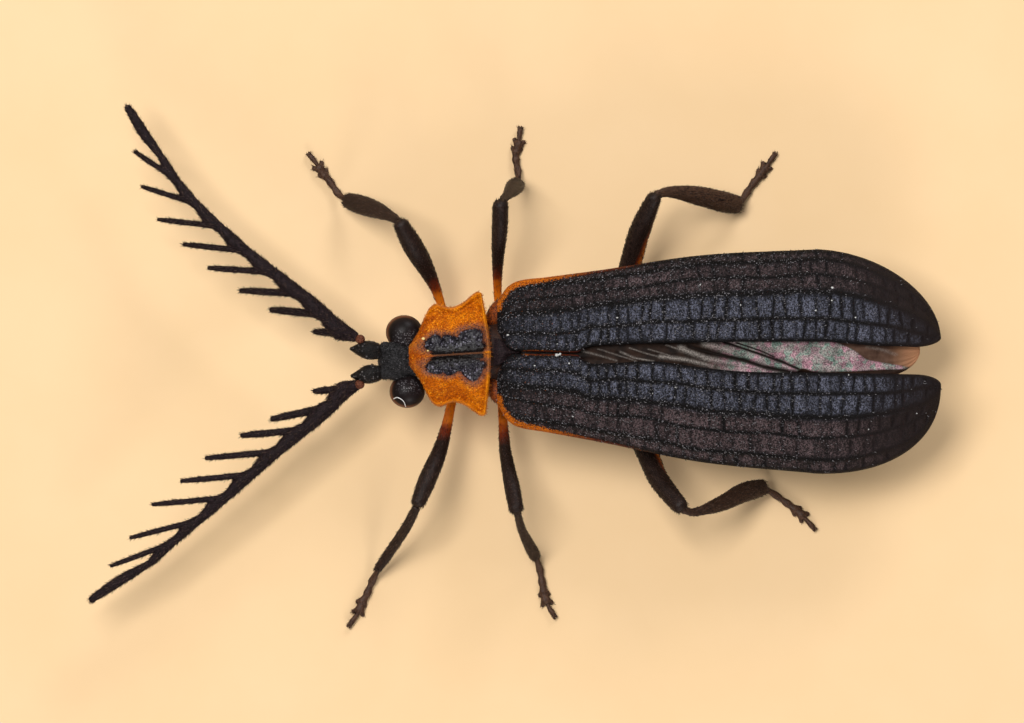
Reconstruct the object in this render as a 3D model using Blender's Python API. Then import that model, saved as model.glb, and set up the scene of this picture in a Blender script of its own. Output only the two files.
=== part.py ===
# A net-winged beetle at life size: a long, flat male with comb-like antennae, on its six feet.
# The head points along -X, the beetle's right side is +Y and +Z is up. The origin is on the floor,
# below the middle of the whole model. Sizes are in millimetres until to_metres() scales the meshes.

import math

import bmesh
import bpy
from mathutils import Matrix, Vector

METRES = 0.001
GAP = 0.25  # between two nodes that meet
FINE_GAP = 0.12  # the same between pieces that are under half a millimetre thick
SIDES = (("right", 1), ("left", -1))

# The body's middle line, seen from above: Y at X = 0, and how it drifts towards the tail
MIDDLE = 0.32
DRIFT = -0.022

# Wing cases: (distance from their base, value) pairs, the places across being from the middle line
ELYTRON_BASE = -0.47
ELYTRON_LENGTH = 11.10
ELYTRON_THICK = 0.5
ELYTRON_INNER = ((0.0, 0.42), (0.8, 0.15), (1.8, 0.15), (4.0, 0.27), (6.5, 0.40), (8.3, 0.45), (10.4, 0.36))
ELYTRON_OUTER = ((0.0, 1.38), (0.22, 1.66), (0.55, 1.83), (1.2, 1.93), (2.6, 2.15), (5.1, 2.58), (8.0, 2.80))
ELYTRON_ROUND_FROM = 8.0  # where the outer edge begins to round in to the tip
ELYTRON_INNER_ROUND_FROM = 10.4
ELYTRON_TIP = 0.60
ELYTRON_ROUNDNESS = {"right": 1.68, "left": 2.2}
ELYTRON_TOP = ((0.0, 2.88), (1.5, 3.18), (4.5, 3.36), (8.0, 3.24), (10.0, 2.88), (11.1, 2.5))
ELYTRON_EDGE = ((0.0, 2.56), (1.5, 2.46), (5.0, 2.42), (8.0, 2.34), (10.0, 2.26), (11.1, 2.22))
ELYTRON_ARCH = 2.2
ELYTRON_SPREAD = {"right": 0.98, "left": 1.025}
COSTAE = {"right": (0.25, 0.54, 0.72, 0.89), "left": (0.21, 0.44, 0.64, 0.86)}
COSTA_HEIGHTS = (0.04, 0.08, 0.05, 0.08)
BEAD = 0.05  # height of the bead along the edges of a wing case
STRAIGHT_CELLS = 10
TIP_CELLS = 5
TIP_CUT = 0.995  # share of the rounding at which the tip ends, a little blunt
CELL_FLOOR = (0.27, 0.73)  # a cell's flat floor, as shares of the way between two ridges
CROSS_HEIGHT = 0.04
CELL_DEPTH = 0.03
STAGGER = 0.16
UNDERSIDE_COLUMNS = (0.0, 0.3, 0.6, 0.82, 1.0)

# Neck shield and the front ring of the thorax below it
PRONOTUM_FRONT = -2.675
PRONOTUM_MIDDLE = 0.22
PRONOTUM_YAW = 2.0
PRONOTUM_LENGTH = 2.05
PRONOTUM_HALF = (
    (0.0, 0.24), (0.25, 0.60), (0.40, 0.93), (0.56, 1.20), (0.73, 1.28),
    (1.10, 1.19), (1.40, 1.28), (1.86, 1.55), (2.05, 1.52),
)
PRONOTUM_ROWS = (0.0, 0.08, 0.2, 0.34, 0.5, 0.62, 0.76, 0.95, 1.15, 1.35, 1.55, 1.72, 1.86, 1.96, 2.05)
PRONOTUM_COLUMNS = (-1.0, -0.92, -0.8, -0.6, -0.38, -0.18, -0.06, 0.0, 0.06, 0.18, 0.38, 0.6, 0.8, 0.92, 1.0)
PRONOTUM_TOP = ((0.0, 2.72), (0.3, 2.88), (0.7, 2.90), (1.6, 2.92), (2.05, 2.90))
PRONOTUM_ARCH = 0.42  # fall from its middle to its side edges
PRONOTUM_BAY = 0.18  # how far forward the hind angles lie of the hind edge's middle
RIM = (0.12, 0.12)  # the raised side rim: height, and width as a share of the half width
RIDGE = (0.10, 0.07, 0.5)  # the middle ridge: height, width likewise, and the length of its rise
HOLLOWS = (0.16, 0.36, 0.2, 1.25, 0.55)  # depth, place and width across, place and length along
PRONOTUM_LIP = 0.38
PRONOTUM_DEEP = 1.5  # from its top down to the underside of the front ring
RING_START = 0.62
RING_END = 1.72
RING_ROUNDING = 0.12

# Head and eyes
HEAD = Vector((-2.80, 0.10, 1.85))
HEAD_HALF = Vector((0.56, 0.56, 0.52))
MUZZLE = Vector((-0.28, 0.0, -0.38))  # from the head's middle
MUZZLE_HALF = Vector((0.34, 0.34, 0.36))
PALP = ((-0.42, 0.16, -0.5), (-0.64, 0.26, -0.68), (-0.88, 0.29, -0.70))  # likewise
PALP_RADII = (0.15, 0.13, 0.14, 0.09)
EYE_RADIUS = 0.45
EYES = {"right": Vector((-2.80, 0.80, 1.90)), "left": Vector((-2.73, -0.60, 1.90))}
EYE_SEAT = 0.36  # from an eye's centre back to the flat that faces the head

# Antennae: scape and pedicel, then the shaft with one ray from the base of all but its last segment
SCAPE = {"right": ((-3.52, 0.31, 2.02), (-4.12, 0.42, 2.05)), "left": ((-3.52, -0.14, 2.02), (-4.12, -0.27, 2.05))}
SCAPE_RADII = (0.15, 0.22, 0.25, 0.22, 0.12)
PEDICEL = {"right": (-3.90, 0.64, 2.06), "left": (-3.90, -0.48, 2.06)}
PEDICEL_RADIUS = 0.2
SHAFT = {
    "right": ((-3.95, 0.66, 2.06), (-4.68, 1.18, 2.1), (-6.65, 2.76, 2.1), (-8.46, 4.56, 1.9), (-9.72, 6.44, 1.6)),
    "left": ((-3.92, -0.50, 2.06), (-4.60, -1.10, 2.1), (-6.82, -2.94, 2.1), (-8.86, -4.72, 1.9),
             (-10.60, -5.91, 1.6)),
}
SEGMENT_LENGTHS = {
    "right": (0.81, 0.81, 0.87, 0.86, 0.92, 0.84, 0.80, 0.74, 1.56),
    "left": (0.73, 0.89, 0.86, 0.87, 0.88, 0.87, 0.87, 0.88, 1.78),
}
SEGMENT_RADII = (0.24, 0.23, 0.22, 0.21, 0.20, 0.19, 0.18, 0.16, 0.14)
SEGMENT_SHAPE = ((0.06, 0.84), (0.5, 1.0), (0.94, 0.98))  # (share of its length, share of its radius)
RAY_ROOT = 0.1  # share of a segment's length
RAY_LENGTHS = {
    "right": (1.02, 1.46, 1.59, 1.71, 1.66, 1.63, 1.50, 1.32),
    "left": (1.08, 1.59, 1.66, 1.88, 1.85, 1.92, 1.86, 1.74),
}
RAY_HEADINGS = {
    "right": (3.4, 5.5, 3.2, 4.1, 6.0, 6.9, 17.5, 33.6),
    "left": (5.5, 12.1, 5.3, 5.4, 5.4, 5.3, 14.4, 20.6),
}
RAY_DROOP = {"right": 0.4, "left": 0.12}  # fall for each millimetre along a ray
RAY_RADII = (0.21, 0.17, 0.14, 0.09)

# Middle and hind rings of the thorax, with the scutellum: stations (X, half width, lowest, highest)
THORAX_UPPER = (
    (-0.43, 0.86, 1.35, 2.05), (-0.25, 1.08, 1.2, 2.12), (0.2, 1.22, 1.15, 2.22), (1.0, 1.34, 1.15, 2.32),
    (1.45, 1.34, 1.15, 2.3), (1.6, 1.26, 1.2, 2.2),
)
THORAX_LOWER = ((1.2, 1.2, 1.2, 1.62), (1.9, 1.36, 1.15, 1.7), (2.35, 1.3, 1.17, 1.66), (2.55, 1.1, 1.25, 1.55))
SCUTELLUM = ((-0.38, 0.20), (-0.21, 0.17), (0.02, 0.04))  # the small shield between them: (X, half width)
SCUTELLUM_TOP = 2.82
SCUTELLUM_EDGE = 2.74
SCUTELLUM_ROOT = 1.9  # how deep it is sunk in the middle ring

# Folded hind wings under the wing cases: from the thorax to their tips
WING_START = 1.85
WING_TIP = 10.15
WING_THICK = 0.5
WINGS = {"right": (-0.62, 1.22), "left": (-1.5, -0.87)}  # both edges, from the middle line
WING_NARROWS_FROM = 0.55  # share of its length
WING_TIP_WIDTH = 0.2  # share of its width
WING_ROWS = 14
WING_VEINS = 4
VEIN_HEIGHT = 0.06

# Abdomen, below the folded wings
ABDOMEN_START = 2.8
ABDOMEN_SEGMENT = 0.82
ABDOMEN_HALF = (1.20, 1.34, 1.40, 1.40, 1.34, 1.20, 0.96, 0.56)
ABDOMEN_LOW = ((2.8, 1.0), (4.5, 0.84), (7.5, 0.8), (9.4, 0.95))
ABDOMEN_STEP = 0.05  # how far each segment's hind edge stands out over the next one

# Legs: coxa, a point along the femur, knee, the tibia's middle and end, and the tarsus's bend and tip
LEGS = {
    "front_right": ((-1.70, 0.80, 0.84), (-1.93, 1.75, 1.22), (-2.80, 3.42, 2.25), (-3.34, 3.88, 1.45),
                    (-4.22, 4.15, 0.42), (-4.65, 4.60), (-5.18, 5.23)),
    "mid_right": ((-0.42, 0.92, 0.66), (-0.46, 1.85, 1.1), (-0.39, 3.92, 2.8), (-0.22, 4.32, 1.75),
                  (0.06, 4.62, 0.42), (0.05, 5.2), (0.14, 5.96)),
    "hind_right": ((2.35, 1.02, 0.66), (2.84, 2.40, 1.12), (3.41, 4.20, 2.3), (4.25, 4.32, 1.6),
                   (5.52, 4.08, 0.42), (6.1, 4.72), (6.53, 5.30)),
    "front_left": ((-1.50, -0.36, 0.84), (-1.60, -1.25, 1.15), (-2.40, -3.48, 2.1), (-2.98, -4.38, 1.35),
                   (-3.42, -5.06, 0.42), (-3.74, -5.80), (-4.15, -6.50)),
    "mid_left": ((-0.42, -0.38, 0.66), (-0.32, -1.38, 0.98), (0.02, -3.64, 2.35), (0.32, -4.44, 1.45),
                 (0.54, -4.90, 0.42), (0.76, -5.76), (0.97, -6.29)),
    "hind_left": ((2.42, -0.55, 0.66), (3.30, -2.10, 1.1), (4.08, -3.66, 2.3), (4.98, -3.62, 1.7),
                  (6.24, -3.06, 0.42), (6.9, -3.50), (7.50, -4.09)),
}
COXA_HALF = (0.3, 0.3, 0.24)
LEG_WIDTHS = {"front": 1.0, "mid": 0.88, "hind": 1.12}
FEMUR_RADII = (0.17, 0.21, 0.24, 0.25, 0.24, 0.22, 0.18)
TIBIA_RADII = (0.15, 0.19, 0.22, 0.24, 0.24, 0.2)
TARSUS_SHARES = (0.3, 0.18, 0.14, 0.14, 0.24)  # of the tarsus's length, for its five joints
TARSUS_RADII = (0.15, 0.15, 0.17, 0.19, 0.13)
TARSUS_SHAPE = ((0.04, 0.75), (0.55, 0.92), (0.92, 1.08))  # (share of a joint's length, of its radius)
TARSUS_HEIGHT = 0.14
TARSUS_DROP = 0.35  # share of its first stretch in which the tarsus comes down to the floor

BLACK = (0.012, 0.011, 0.011)
BROWN_BLACK = (0.022, 0.014, 0.011)
ORANGE = (0.62, 0.20, 0.012)
SMOKE = (0.09, 0.065, 0.055)
EYE_BROWN = (0.02, 0.010, 0.006)


def profile(pairs, place):
    # The value at a place, on a smooth curve through (place, value) pairs.
    if place <= pairs[0][0]:
        return pairs[0][1]
    if place >= pairs[-1][0]:
        return pairs[-1][1]
    slopes = []
    for i in range(len(pairs)):
        before, after = pairs[max(i - 1, 0)], pairs[min(i + 1, len(pairs) - 1)]
        slopes.append((after[1] - before[1]) / (after[0] - before[0]))
    i = max(k for k in range(len(pairs) - 1) if pairs[k][0] <= place)
    step = pairs[i + 1][0] - pairs[i][0]
    f = (place - pairs[i][0]) / step
    value = pairs[i][1] * (1 + 2 * f) * (1 - f) ** 2 + pairs[i + 1][1] * f * f * (3 - 2 * f)
    return value + step * f * (1 - f) * (slopes[i] * (1 - f) - slopes[i + 1] * f)


def route(points, count):
    # Evenly spaced places on a smooth line through a few points.
    places = [0.0]
    for a, b in zip(points, points[1:]):
        places.append(places[-1] + (Vector(b) - Vector(a)).length)
    axes = [[(place, point[k]) for place, point in zip(places, points)] for k in range(3)]
    steps = [places[-1] * i / (count - 1) for i in range(count)]
    return [Vector([profile(axis, step) for axis in axes]) for step in steps]


def spread_radii(radii, count):
    # The radii of a limb at evenly spaced places.
    pairs = [(i / (len(radii) - 1), radius) for i, radius in enumerate(radii)]
    return [profile(pairs, i / (count - 1)) for i in range(count)]


def middle(x):
    # Y of the body's middle line.
    return MIDDLE + DRIFT * x


def clamp(value):
    return min(max(value, 0.0), 1.0)


def bell(value):
    # 1 at nought, falling smoothly to nearly nothing at 2.
    return math.exp(-value * value)


def material(name, colour, roughness):
    made = bpy.data.materials.new(name)
    made.use_nodes = True
    shader = made.node_tree.nodes["Principled BSDF"]
    shader.inputs["Base Color"].default_value = (*colour, 1.0)
    shader.inputs["Roughness"].default_value = roughness
    return made


def add_object(name, data):
    made = bpy.data.objects.new(name, data)
    parts.objects.link(made)
    return made


def mesh_object(name, bm):
    # A finished mesh, with its faces pointing out.
    bmesh.ops.recalc_face_normals(bm, faces=bm.faces)
    if bm.calc_volume(signed=True) < 0:
        bmesh.ops.reverse_faces(bm, faces=bm.faces)
    mesh = bpy.data.meshes.new(name)
    bm.to_mesh(mesh)
    bm.free()
    return add_object(name, mesh)


def tube(name, points, radii, roundness=2):
    # A limb of round section with its own radius at each point.
    curve = bpy.data.curves.new(name, "CURVE")
    curve.dimensions = "3D"
    curve.bevel_depth = 1.0
    curve.bevel_resolution = roundness
    curve.use_fill_caps = True
    spline = curve.splines.new("POLY")
    spline.points.add(len(points) - 1)
    for knot, point, radius in zip(spline.points, points, radii):
        knot.co = (*point, 1.0)
        knot.radius = radius
    guide = add_object(name + "_line", curve)
    depsgraph = bpy.context.evaluated_depsgraph_get()
    mesh = bpy.data.meshes.new_from_object(guide.evaluated_get(depsgraph))
    bpy.data.objects.remove(guide)
    bm = bmesh.new()
    bm.from_mesh(mesh)
    bpy.data.meshes.remove(mesh)
    bmesh.ops.remove_doubles(bm, verts=bm.verts, dist=0.001)
    return mesh_object(name, bm)


def ball(name, place, half, around=16, up=10):
    bm = bmesh.new()
    bmesh.ops.create_uvsphere(bm, u_segments=around, v_segments=up, radius=1.0)
    bmesh.ops.scale(bm, vec=Vector(half), verts=bm.verts)
    bmesh.ops.translate(bm, vec=Vector(place), verts=bm.verts)
    return mesh_object(name, bm)


def slab(name, top, bottom):
    # A closed body between an upper and a lower grid of points, row by row.
    bm = bmesh.new()
    grids = [[[bm.verts.new(point) for point in row] for row in grid] for grid in (top, bottom)]
    for grid in grids:
        for row, after in zip(grid, grid[1:]):
            for i in range(len(row) - 1):
                bm.faces.new((row[i], row[i + 1], after[i + 1], after[i]))
    upper, lower = grids
    for edge in (0, -1):
        for i in range(len(upper) - 1):
            bm.faces.new((upper[i][edge], upper[i + 1][edge], lower[i + 1][edge], lower[i][edge]))
        bm.faces.new(upper[edge] + lower[edge][::-1])
    bmesh.ops.triangulate(bm, faces=bm.faces)
    return mesh_object(name, bm)


def barrel(name, stations, around=16, squareness=2.5):
    # A closed body of rounded rings across X: (X, half width, lowest, highest) each.
    bm = bmesh.new()
    rings = []
    for x, half, low, high in stations:
        ring = []
        for i in range(around):
            angle = 2 * math.pi * i / around
            c, s = math.cos(angle), math.sin(angle)
            y = half * math.copysign(abs(c) ** (2 / squareness), c)
            z = (high - low) / 2 * math.copysign(abs(s) ** (2 / squareness), s)
            ring.append(bm.verts.new((x, middle(x) + y, (low + high) / 2 + z)))
        rings.append(ring)
    for ring, after in zip(rings, rings[1:]):
        for i in range(around):
            j = (i + 1) % around
            bm.faces.new((ring[i], ring[j], after[j], after[i]))
    bm.faces.new(rings[0])
    bm.faces.new(rings[-1])
    return mesh_object(name, bm)


def evaluated(obj):
    depsgraph = bpy.context.evaluated_depsgraph_get()
    return bpy.data.meshes.new_from_object(obj.evaluated_get(depsgraph))


def largest_only(mesh):
    # Keeps the largest closed surface of a mesh.
    bm = bmesh.new()
    bm.from_mesh(mesh)
    bm.verts.ensure_lookup_table()
    left = set(bm.verts)
    groups = []
    while left:
        group, edge = set(), [left.pop()]
        while edge:
            vert = edge.pop()
            group.add(vert)
            for link in vert.link_edges:
                other = link.other_vert(vert)
                if other in left:
                    left.remove(other)
                    edge.append(other)
        groups.append(group)
    groups.sort(key=len)
    for group in groups[:-1]:
        bmesh.ops.delete(bm, geom=list(group), context="VERTS")
    bm.to_mesh(mesh)
    bm.free()


def fuse(main, others, operation="UNION", solver="EXACT"):
    # Joins other closed pieces to the main one, or cuts them from it, and removes them.
    tools = bpy.data.collections.new(main.name + "_tools")
    bpy.context.scene.collection.children.link(tools)
    for other in others:
        parts.objects.unlink(other)
        tools.objects.link(other)
    step = main.modifiers.new("join", "BOOLEAN")
    step.operand_type = "COLLECTION"
    step.collection = tools
    step.operation = operation
    step.solver = solver
    mesh = evaluated(main)
    main.modifiers.remove(step)
    main.data = mesh
    largest_only(mesh)
    for other in others:
        bpy.data.objects.remove(other)
    bpy.data.collections.remove(tools)
    return main


def cut_at_floor(obj):
    # Trims what reaches below the floor and closes the cut with a flat.
    bm = bmesh.new()
    bm.from_mesh(obj.data)
    geometry = list(bm.verts) + list(bm.edges) + list(bm.faces)
    cut = bmesh.ops.bisect_plane(
        bm, geom=geometry, dist=0.0005, plane_co=(0, 0, 0), plane_no=(0, 0, 1), clear_inner=True
    )
    rim = [piece for piece in cut["geom_cut"] if isinstance(piece, bmesh.types.BMEdge)]
    bmesh.ops.holes_fill(bm, edges=rim)
    bmesh.ops.recalc_face_normals(bm, faces=bm.faces)
    bm.to_mesh(obj.data)
    bm.free()


def rounding(side, share):
    # How much of its width a rounded end still has, a given share of the way to the tip.
    power = ELYTRON_ROUNDNESS[side]
    return (1 - min(share, 1.0) ** power) ** (1 / power)


def elytron_edges(side, s):
    # Inner and outer edge of a wing case from the middle line, at a distance from its base.
    inner = profile(ELYTRON_INNER, s)
    outer = profile(ELYTRON_OUTER, s)
    if s > ELYTRON_ROUND_FROM:
        share = (s - ELYTRON_ROUND_FROM) / (ELYTRON_LENGTH - ELYTRON_ROUND_FROM)
        outer = ELYTRON_TIP + (outer - ELYTRON_TIP) * rounding(side, share)
    if s > ELYTRON_INNER_ROUND_FROM:
        share = (s - ELYTRON_INNER_ROUND_FROM) / (ELYTRON_LENGTH - ELYTRON_INNER_ROUND_FROM)
        inner = ELYTRON_TIP + (inner - ELYTRON_TIP) * rounding(side, share)
    return inner, outer


def elytron_height(s, t):
    # Height of the smooth outer face, t of the way from the inner to the outer edge.
    top, edge = profile(ELYTRON_TOP, s), profile(ELYTRON_EDGE, s)
    return edge + (top - edge) * (1 - max(t, 0.0) ** ELYTRON_ARCH)


def elytron_point(side, sign, s, t, height):
    # A point of a wing case: distance from its base, share of its width and height on the smooth arch.
    x = ELYTRON_BASE + s
    inner, outer = elytron_edges(side, s)
    across = inner + (outer * ELYTRON_SPREAD[side] - inner) * t
    return x, middle(x) + sign * across, elytron_height(s, t) + height


def cell_rows():
    # Rows along a wing case, (distance, whether a cross ridge runs there, length of the cell): the
    # cells get shorter where the tip rounds.
    reach = ELYTRON_LENGTH - ELYTRON_ROUND_FROM
    crossings = [ELYTRON_ROUND_FROM * i / STRAIGHT_CELLS for i in range(STRAIGHT_CELLS)]
    for i in range(TIP_CELLS + 1):
        crossings.append(ELYTRON_ROUND_FROM + reach * math.sin(math.asin(TIP_CUT) * i / TIP_CELLS))
    rows = []
    for crossing, after in zip(crossings, crossings[1:]):
        cell = after - crossing
        rows.append((crossing, True, cell))
        rows.extend((crossing + cell * share, False, cell) for share in CELL_FLOOR)
    rows.append((crossings[-1], True, 0.0))
    return rows


def cell_columns(side):
    # Columns across a wing case: (share of its width, height of the ridge, which cells, if any).
    ridges = (0.0, *COSTAE[side], 1.0)
    columns = []
    for i, height in enumerate((BEAD, *COSTA_HEIGHTS)):
        width = ridges[i + 1] - ridges[i]
        columns.append((ridges[i], height, None))
        columns.extend((ridges[i] + width * share, 0.0, i) for share in CELL_FLOOR)
    columns.append((1.0, BEAD, None))
    return columns


def make_elytron(side, sign):
    # A net of ridges on a smooth arch: costae lengthwise and lower ridges across between them, each
    # row of cells staggered against the next.
    top, bottom = [], []
    rows = cell_rows()
    for k, (s, crossing, cell) in enumerate(rows):
        upper = []
        for t, height, cells in cell_columns(side):
            along = s
            if cells is not None:
                height = CROSS_HEIGHT if crossing else -CELL_DEPTH
                if 0 < k < len(rows) - 1:
                    along += STAGGER * cell * (-1) ** cells
            upper.append(elytron_point(side, sign, along, t, height))
        top.append(upper)
        bottom.append([elytron_point(side, sign, s, t, -ELYTRON_THICK) for t in UNDERSIDE_COLUMNS])
    return slab("elytron_" + side, top, bottom)


def make_hindwing(side, sign):
    # The wing lies under its wing case, its veins raised in its own surface.
    low, high = WINGS[side]
    columns = WING_VEINS * 2 + 1
    top, bottom = [], []
    for i in range(WING_ROWS):
        share = i / (WING_ROWS - 1)
        x = WING_START + (WING_TIP - WING_START) * math.sin(share * math.pi / 2)
        s = x - ELYTRON_BASE
        past = clamp((share - WING_NARROWS_FROM) / (1 - WING_NARROWS_FROM))
        narrow = max(rounding("left", past), WING_TIP_WIDTH)
        centre, half = (low + high) / 2, (high - low) / 2 * narrow
        upper, lower = [], []
        for k in range(columns):
            offset = centre + half * (2 * k / (columns - 1) - 1)
            inner, outer = elytron_edges(side, s)
            t = (abs(offset) - inner) / (outer - inner)
            under = elytron_height(s, min(t, 1.0)) - ELYTRON_THICK - GAP
            vein = VEIN_HEIGHT if k % 2 else 0.0
            upper.append((x, middle(x) + offset, under - VEIN_HEIGHT + vein))
            lower.append((x, middle(x) + offset, under - VEIN_HEIGHT - WING_THICK))
        top.append(upper)
        bottom.append(lower)
    return slab("hindwing_" + side, top, bottom)


def make_pronotum():
    # A shield with a raised rim, a middle ridge and two hollows, and the front ring below it.
    turn = Matrix.Rotation(math.radians(PRONOTUM_YAW), 3, "Z")
    front = Vector((PRONOTUM_FRONT, PRONOTUM_MIDDLE, 0.0))
    rim, rim_width = RIM
    ridge, ridge_width, ridge_rise = RIDGE
    hollow, hollow_across, hollow_width, hollow_along, hollow_length = HOLLOWS
    top, bottom = [], []
    for along in PRONOTUM_ROWS:
        half = profile(PRONOTUM_HALF, along)
        back = along / PRONOTUM_LENGTH
        ring = clamp((along - RING_START) / RING_ROUNDING) * clamp((RING_END - along) / RING_ROUNDING)
        upper, lower = [], []
        for u in PRONOTUM_COLUMNS:
            x = along - PRONOTUM_BAY * back ** 4 * abs(u) ** 1.5
            z = profile(PRONOTUM_TOP, along) - PRONOTUM_ARCH * abs(u) ** 2.5
            z += rim * bell((1 - abs(u)) / rim_width)
            z += ridge * bell(u / ridge_width) * min(along / ridge_rise, 1.0)
            z -= hollow * bell((abs(u) - hollow_across) / hollow_width) * bell((along - hollow_along) / hollow_length)
            thick = PRONOTUM_LIP + ring * (PRONOTUM_DEEP - PRONOTUM_LIP) * (1 - u * u) ** 1.2
            place = front + turn @ Vector((x, u * half, 0.0))
            upper.append((place.x, place.y, z))
            lower.append((place.x, place.y, z - thick))
        top.append(upper)
        bottom.append(lower)
    return slab("pronotum", top, bottom)


def make_head():
    head = ball("head", HEAD, HEAD_HALF, 20, 12)
    muzzle = ball("muzzle", HEAD + MUZZLE, MUZZLE_HALF, 14, 8)
    palps = []
    for side, sign in SIDES:
        path = [HEAD + Vector((x, y * sign, z)) for x, y, z in PALP]
        palps.append(tube("palp_" + side, route(path, 5), spread_radii(PALP_RADII, 5), 1))
    fuse(head, [muzzle, *palps])
    sockets = []
    wide = EYE_RADIUS + FINE_GAP
    depth = 2 * EYE_RADIUS
    for side, sign in SIDES:
        bm = bmesh.new()
        bmesh.ops.create_cone(bm, cap_ends=True, segments=20, radius1=wide, radius2=wide, depth=depth)
        bmesh.ops.rotate(bm, matrix=Matrix.Rotation(math.pi / 2, 3, "X"), verts=bm.verts)
        inward = EYE_SEAT + FINE_GAP - depth / 2
        bmesh.ops.translate(bm, vec=EYES[side] - Vector((0.0, sign * inward, 0.0)), verts=bm.verts)
        sockets.append(mesh_object("socket_" + side, bm))
    return fuse(head, sockets, "DIFFERENCE")


def make_eye(side, sign):
    # A ball with a flat that faces the head.
    bm = bmesh.new()
    bmesh.ops.create_uvsphere(bm, u_segments=16, v_segments=10, radius=EYE_RADIUS)
    bmesh.ops.rotate(bm, matrix=Matrix.Rotation(math.pi / 2, 3, "X"), verts=bm.verts)
    geometry = list(bm.verts) + list(bm.edges) + list(bm.faces)
    cut = bmesh.ops.bisect_plane(
        bm, geom=geometry, dist=0.0005, plane_co=(0, -sign * EYE_SEAT, 0), plane_no=(0, sign, 0), clear_inner=True
    )
    rim = [piece for piece in cut["geom_cut"] if isinstance(piece, bmesh.types.BMEdge)]
    bmesh.ops.holes_fill(bm, edges=rim)
    bmesh.ops.translate(bm, vec=EYES[side], verts=bm.verts)
    return mesh_object("eye_" + side, bm)


def make_antenna(side, sign):
    line = route(SHAFT[side], 161)
    lengths = SEGMENT_LENGTHS[side]
    scale = sum((b - a).length for a, b in zip(line, line[1:])) / sum(lengths)
    length = 0.0
    joints = [line[0]]
    for a, b in zip(line, line[1:]):
        length += (b - a).length
        if length > scale * sum(lengths[:len(joints)]) and len(joints) < len(lengths):
            joints.append(b)
    joints.append(line[-1])
    points, radii = [], []
    for i, radius in enumerate(SEGMENT_RADII):
        a, b = joints[i], joints[i + 1]
        for share, swell in SEGMENT_SHAPE:
            points.append(a.lerp(b, share))
            radii.append(radius * swell)
    points.append(joints[-1])
    radii.append(SEGMENT_RADII[-1] * 0.5)
    shaft = tube("antenna_" + side, points, radii)
    start, end = SCAPE[side]
    pieces = [tube("scape_" + side, route((start, end), 5), SCAPE_RADII)]
    pieces.append(ball("pedicel_" + side, PEDICEL[side], [PEDICEL_RADIUS] * 3, 8, 6))
    for i, reach in enumerate(RAY_LENGTHS[side]):
        heading = math.radians(RAY_HEADINGS[side][i])
        ahead = Vector((-math.cos(heading), sign * math.sin(heading), 0.0))
        root = joints[i].lerp(joints[i + 1], RAY_ROOT)
        path = []
        for k in range(len(RAY_RADII)):
            share = k / (len(RAY_RADII) - 1)
            fall = RAY_DROOP[side] * reach * share ** 2
            path.append(root + ahead * reach * share - Vector((0.0, 0.0, fall)))
        pieces.append(tube("ray_%s_%d" % (side, i), path, RAY_RADII, 1))
    return fuse(shaft, pieces)


def make_thorax():
    thorax = barrel("thorax", THORAX_UPPER)
    lower = barrel("thorax_lower", THORAX_LOWER)
    grids = []
    for edge, top in ((SCUTELLUM_EDGE, SCUTELLUM_TOP), (SCUTELLUM_ROOT, SCUTELLUM_ROOT)):
        rows = [((x, middle(x) - w, edge), (x, middle(x), top), (x, middle(x) + w, edge)) for x, w in SCUTELLUM]
        grids.append(rows)
    return fuse(thorax, [lower, slab("scutellum", *grids)])


def under_wings(x):
    # The highest that the body may reach below the folded wings.
    return elytron_height(x - ELYTRON_BASE, 0.0) - ELYTRON_THICK - GAP - VEIN_HEIGHT - WING_THICK - GAP


def make_abdomen():
    stations = []
    for i, half in enumerate(ABDOMEN_HALF):
        start = ABDOMEN_START + ABDOMEN_SEGMENT * i
        hind = (half + ABDOMEN_HALF[min(i + 1, len(ABDOMEN_HALF) - 1)]) / 2
        for share, wide, step in ((0.0, half - ABDOMEN_STEP, ABDOMEN_STEP), (0.5, half, 0.0), (0.95, hind, 0.0)):
            x = start + ABDOMEN_SEGMENT * share
            stations.append((x, wide, profile(ABDOMEN_LOW, x) + step, under_wings(x) - step))
    return barrel("abdomen", stations, squareness=2.0)


def make_leg(name):
    coxa, thigh, knee, shin, ankle, bend, toe = LEGS[name]
    width = LEG_WIDTHS[name.split("_")[0]]
    coxa, knee, ankle = Vector(coxa), Vector(knee), Vector(ankle)
    femur_line = route((coxa, thigh, knee), 8)
    femur = tube("femur_" + name, femur_line, [r * width for r in spread_radii(FEMUR_RADII, 8)])
    fuse(femur, [ball("coxa_" + name, coxa, COXA_HALF, 10, 6)])
    below = (Vector(shin) - knee).normalized()
    step = FINE_GAP + FEMUR_RADII[-1] * width
    tibia_line = route((knee + below * step, shin, ankle), 7)
    tibia = tube("tibia_" + name, tibia_line, [r * width for r in spread_radii(TIBIA_RADII, 7)])
    onward = (tibia_line[-1] - tibia_line[-2]).normalized()
    start = ankle + onward * FINE_GAP
    bend, toe = Vector((*bend, TARSUS_HEIGHT)), Vector((*toe, TARSUS_HEIGHT))
    landing = start.lerp(bend, TARSUS_DROP)
    landing.z = TARSUS_HEIGHT
    line = route((start, landing, bend, toe), 41)
    points, radii = [], []
    passed = 0.0
    for share, radius in zip(TARSUS_SHARES, TARSUS_RADII):
        for part, swell in TARSUS_SHAPE:
            points.append(line[round((passed + share * part) * (len(line) - 1))])
            radii.append(radius * swell)
        passed += share
    tarsus = tube("tarsus_" + name, points, radii, 1)
    cut_at_floor(tarsus)
    return femur, tibia, tarsus


def to_metres():
    for obj in parts.objects:
        obj.data.transform(Matrix.Scale(METRES, 4))
        obj.data.shade_smooth()
        obj.data.set_sharp_from_angle(angle=math.radians(40))


def dress(obj, finish):
    obj.data.materials.clear()
    obj.data.materials.append(finish)


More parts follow.
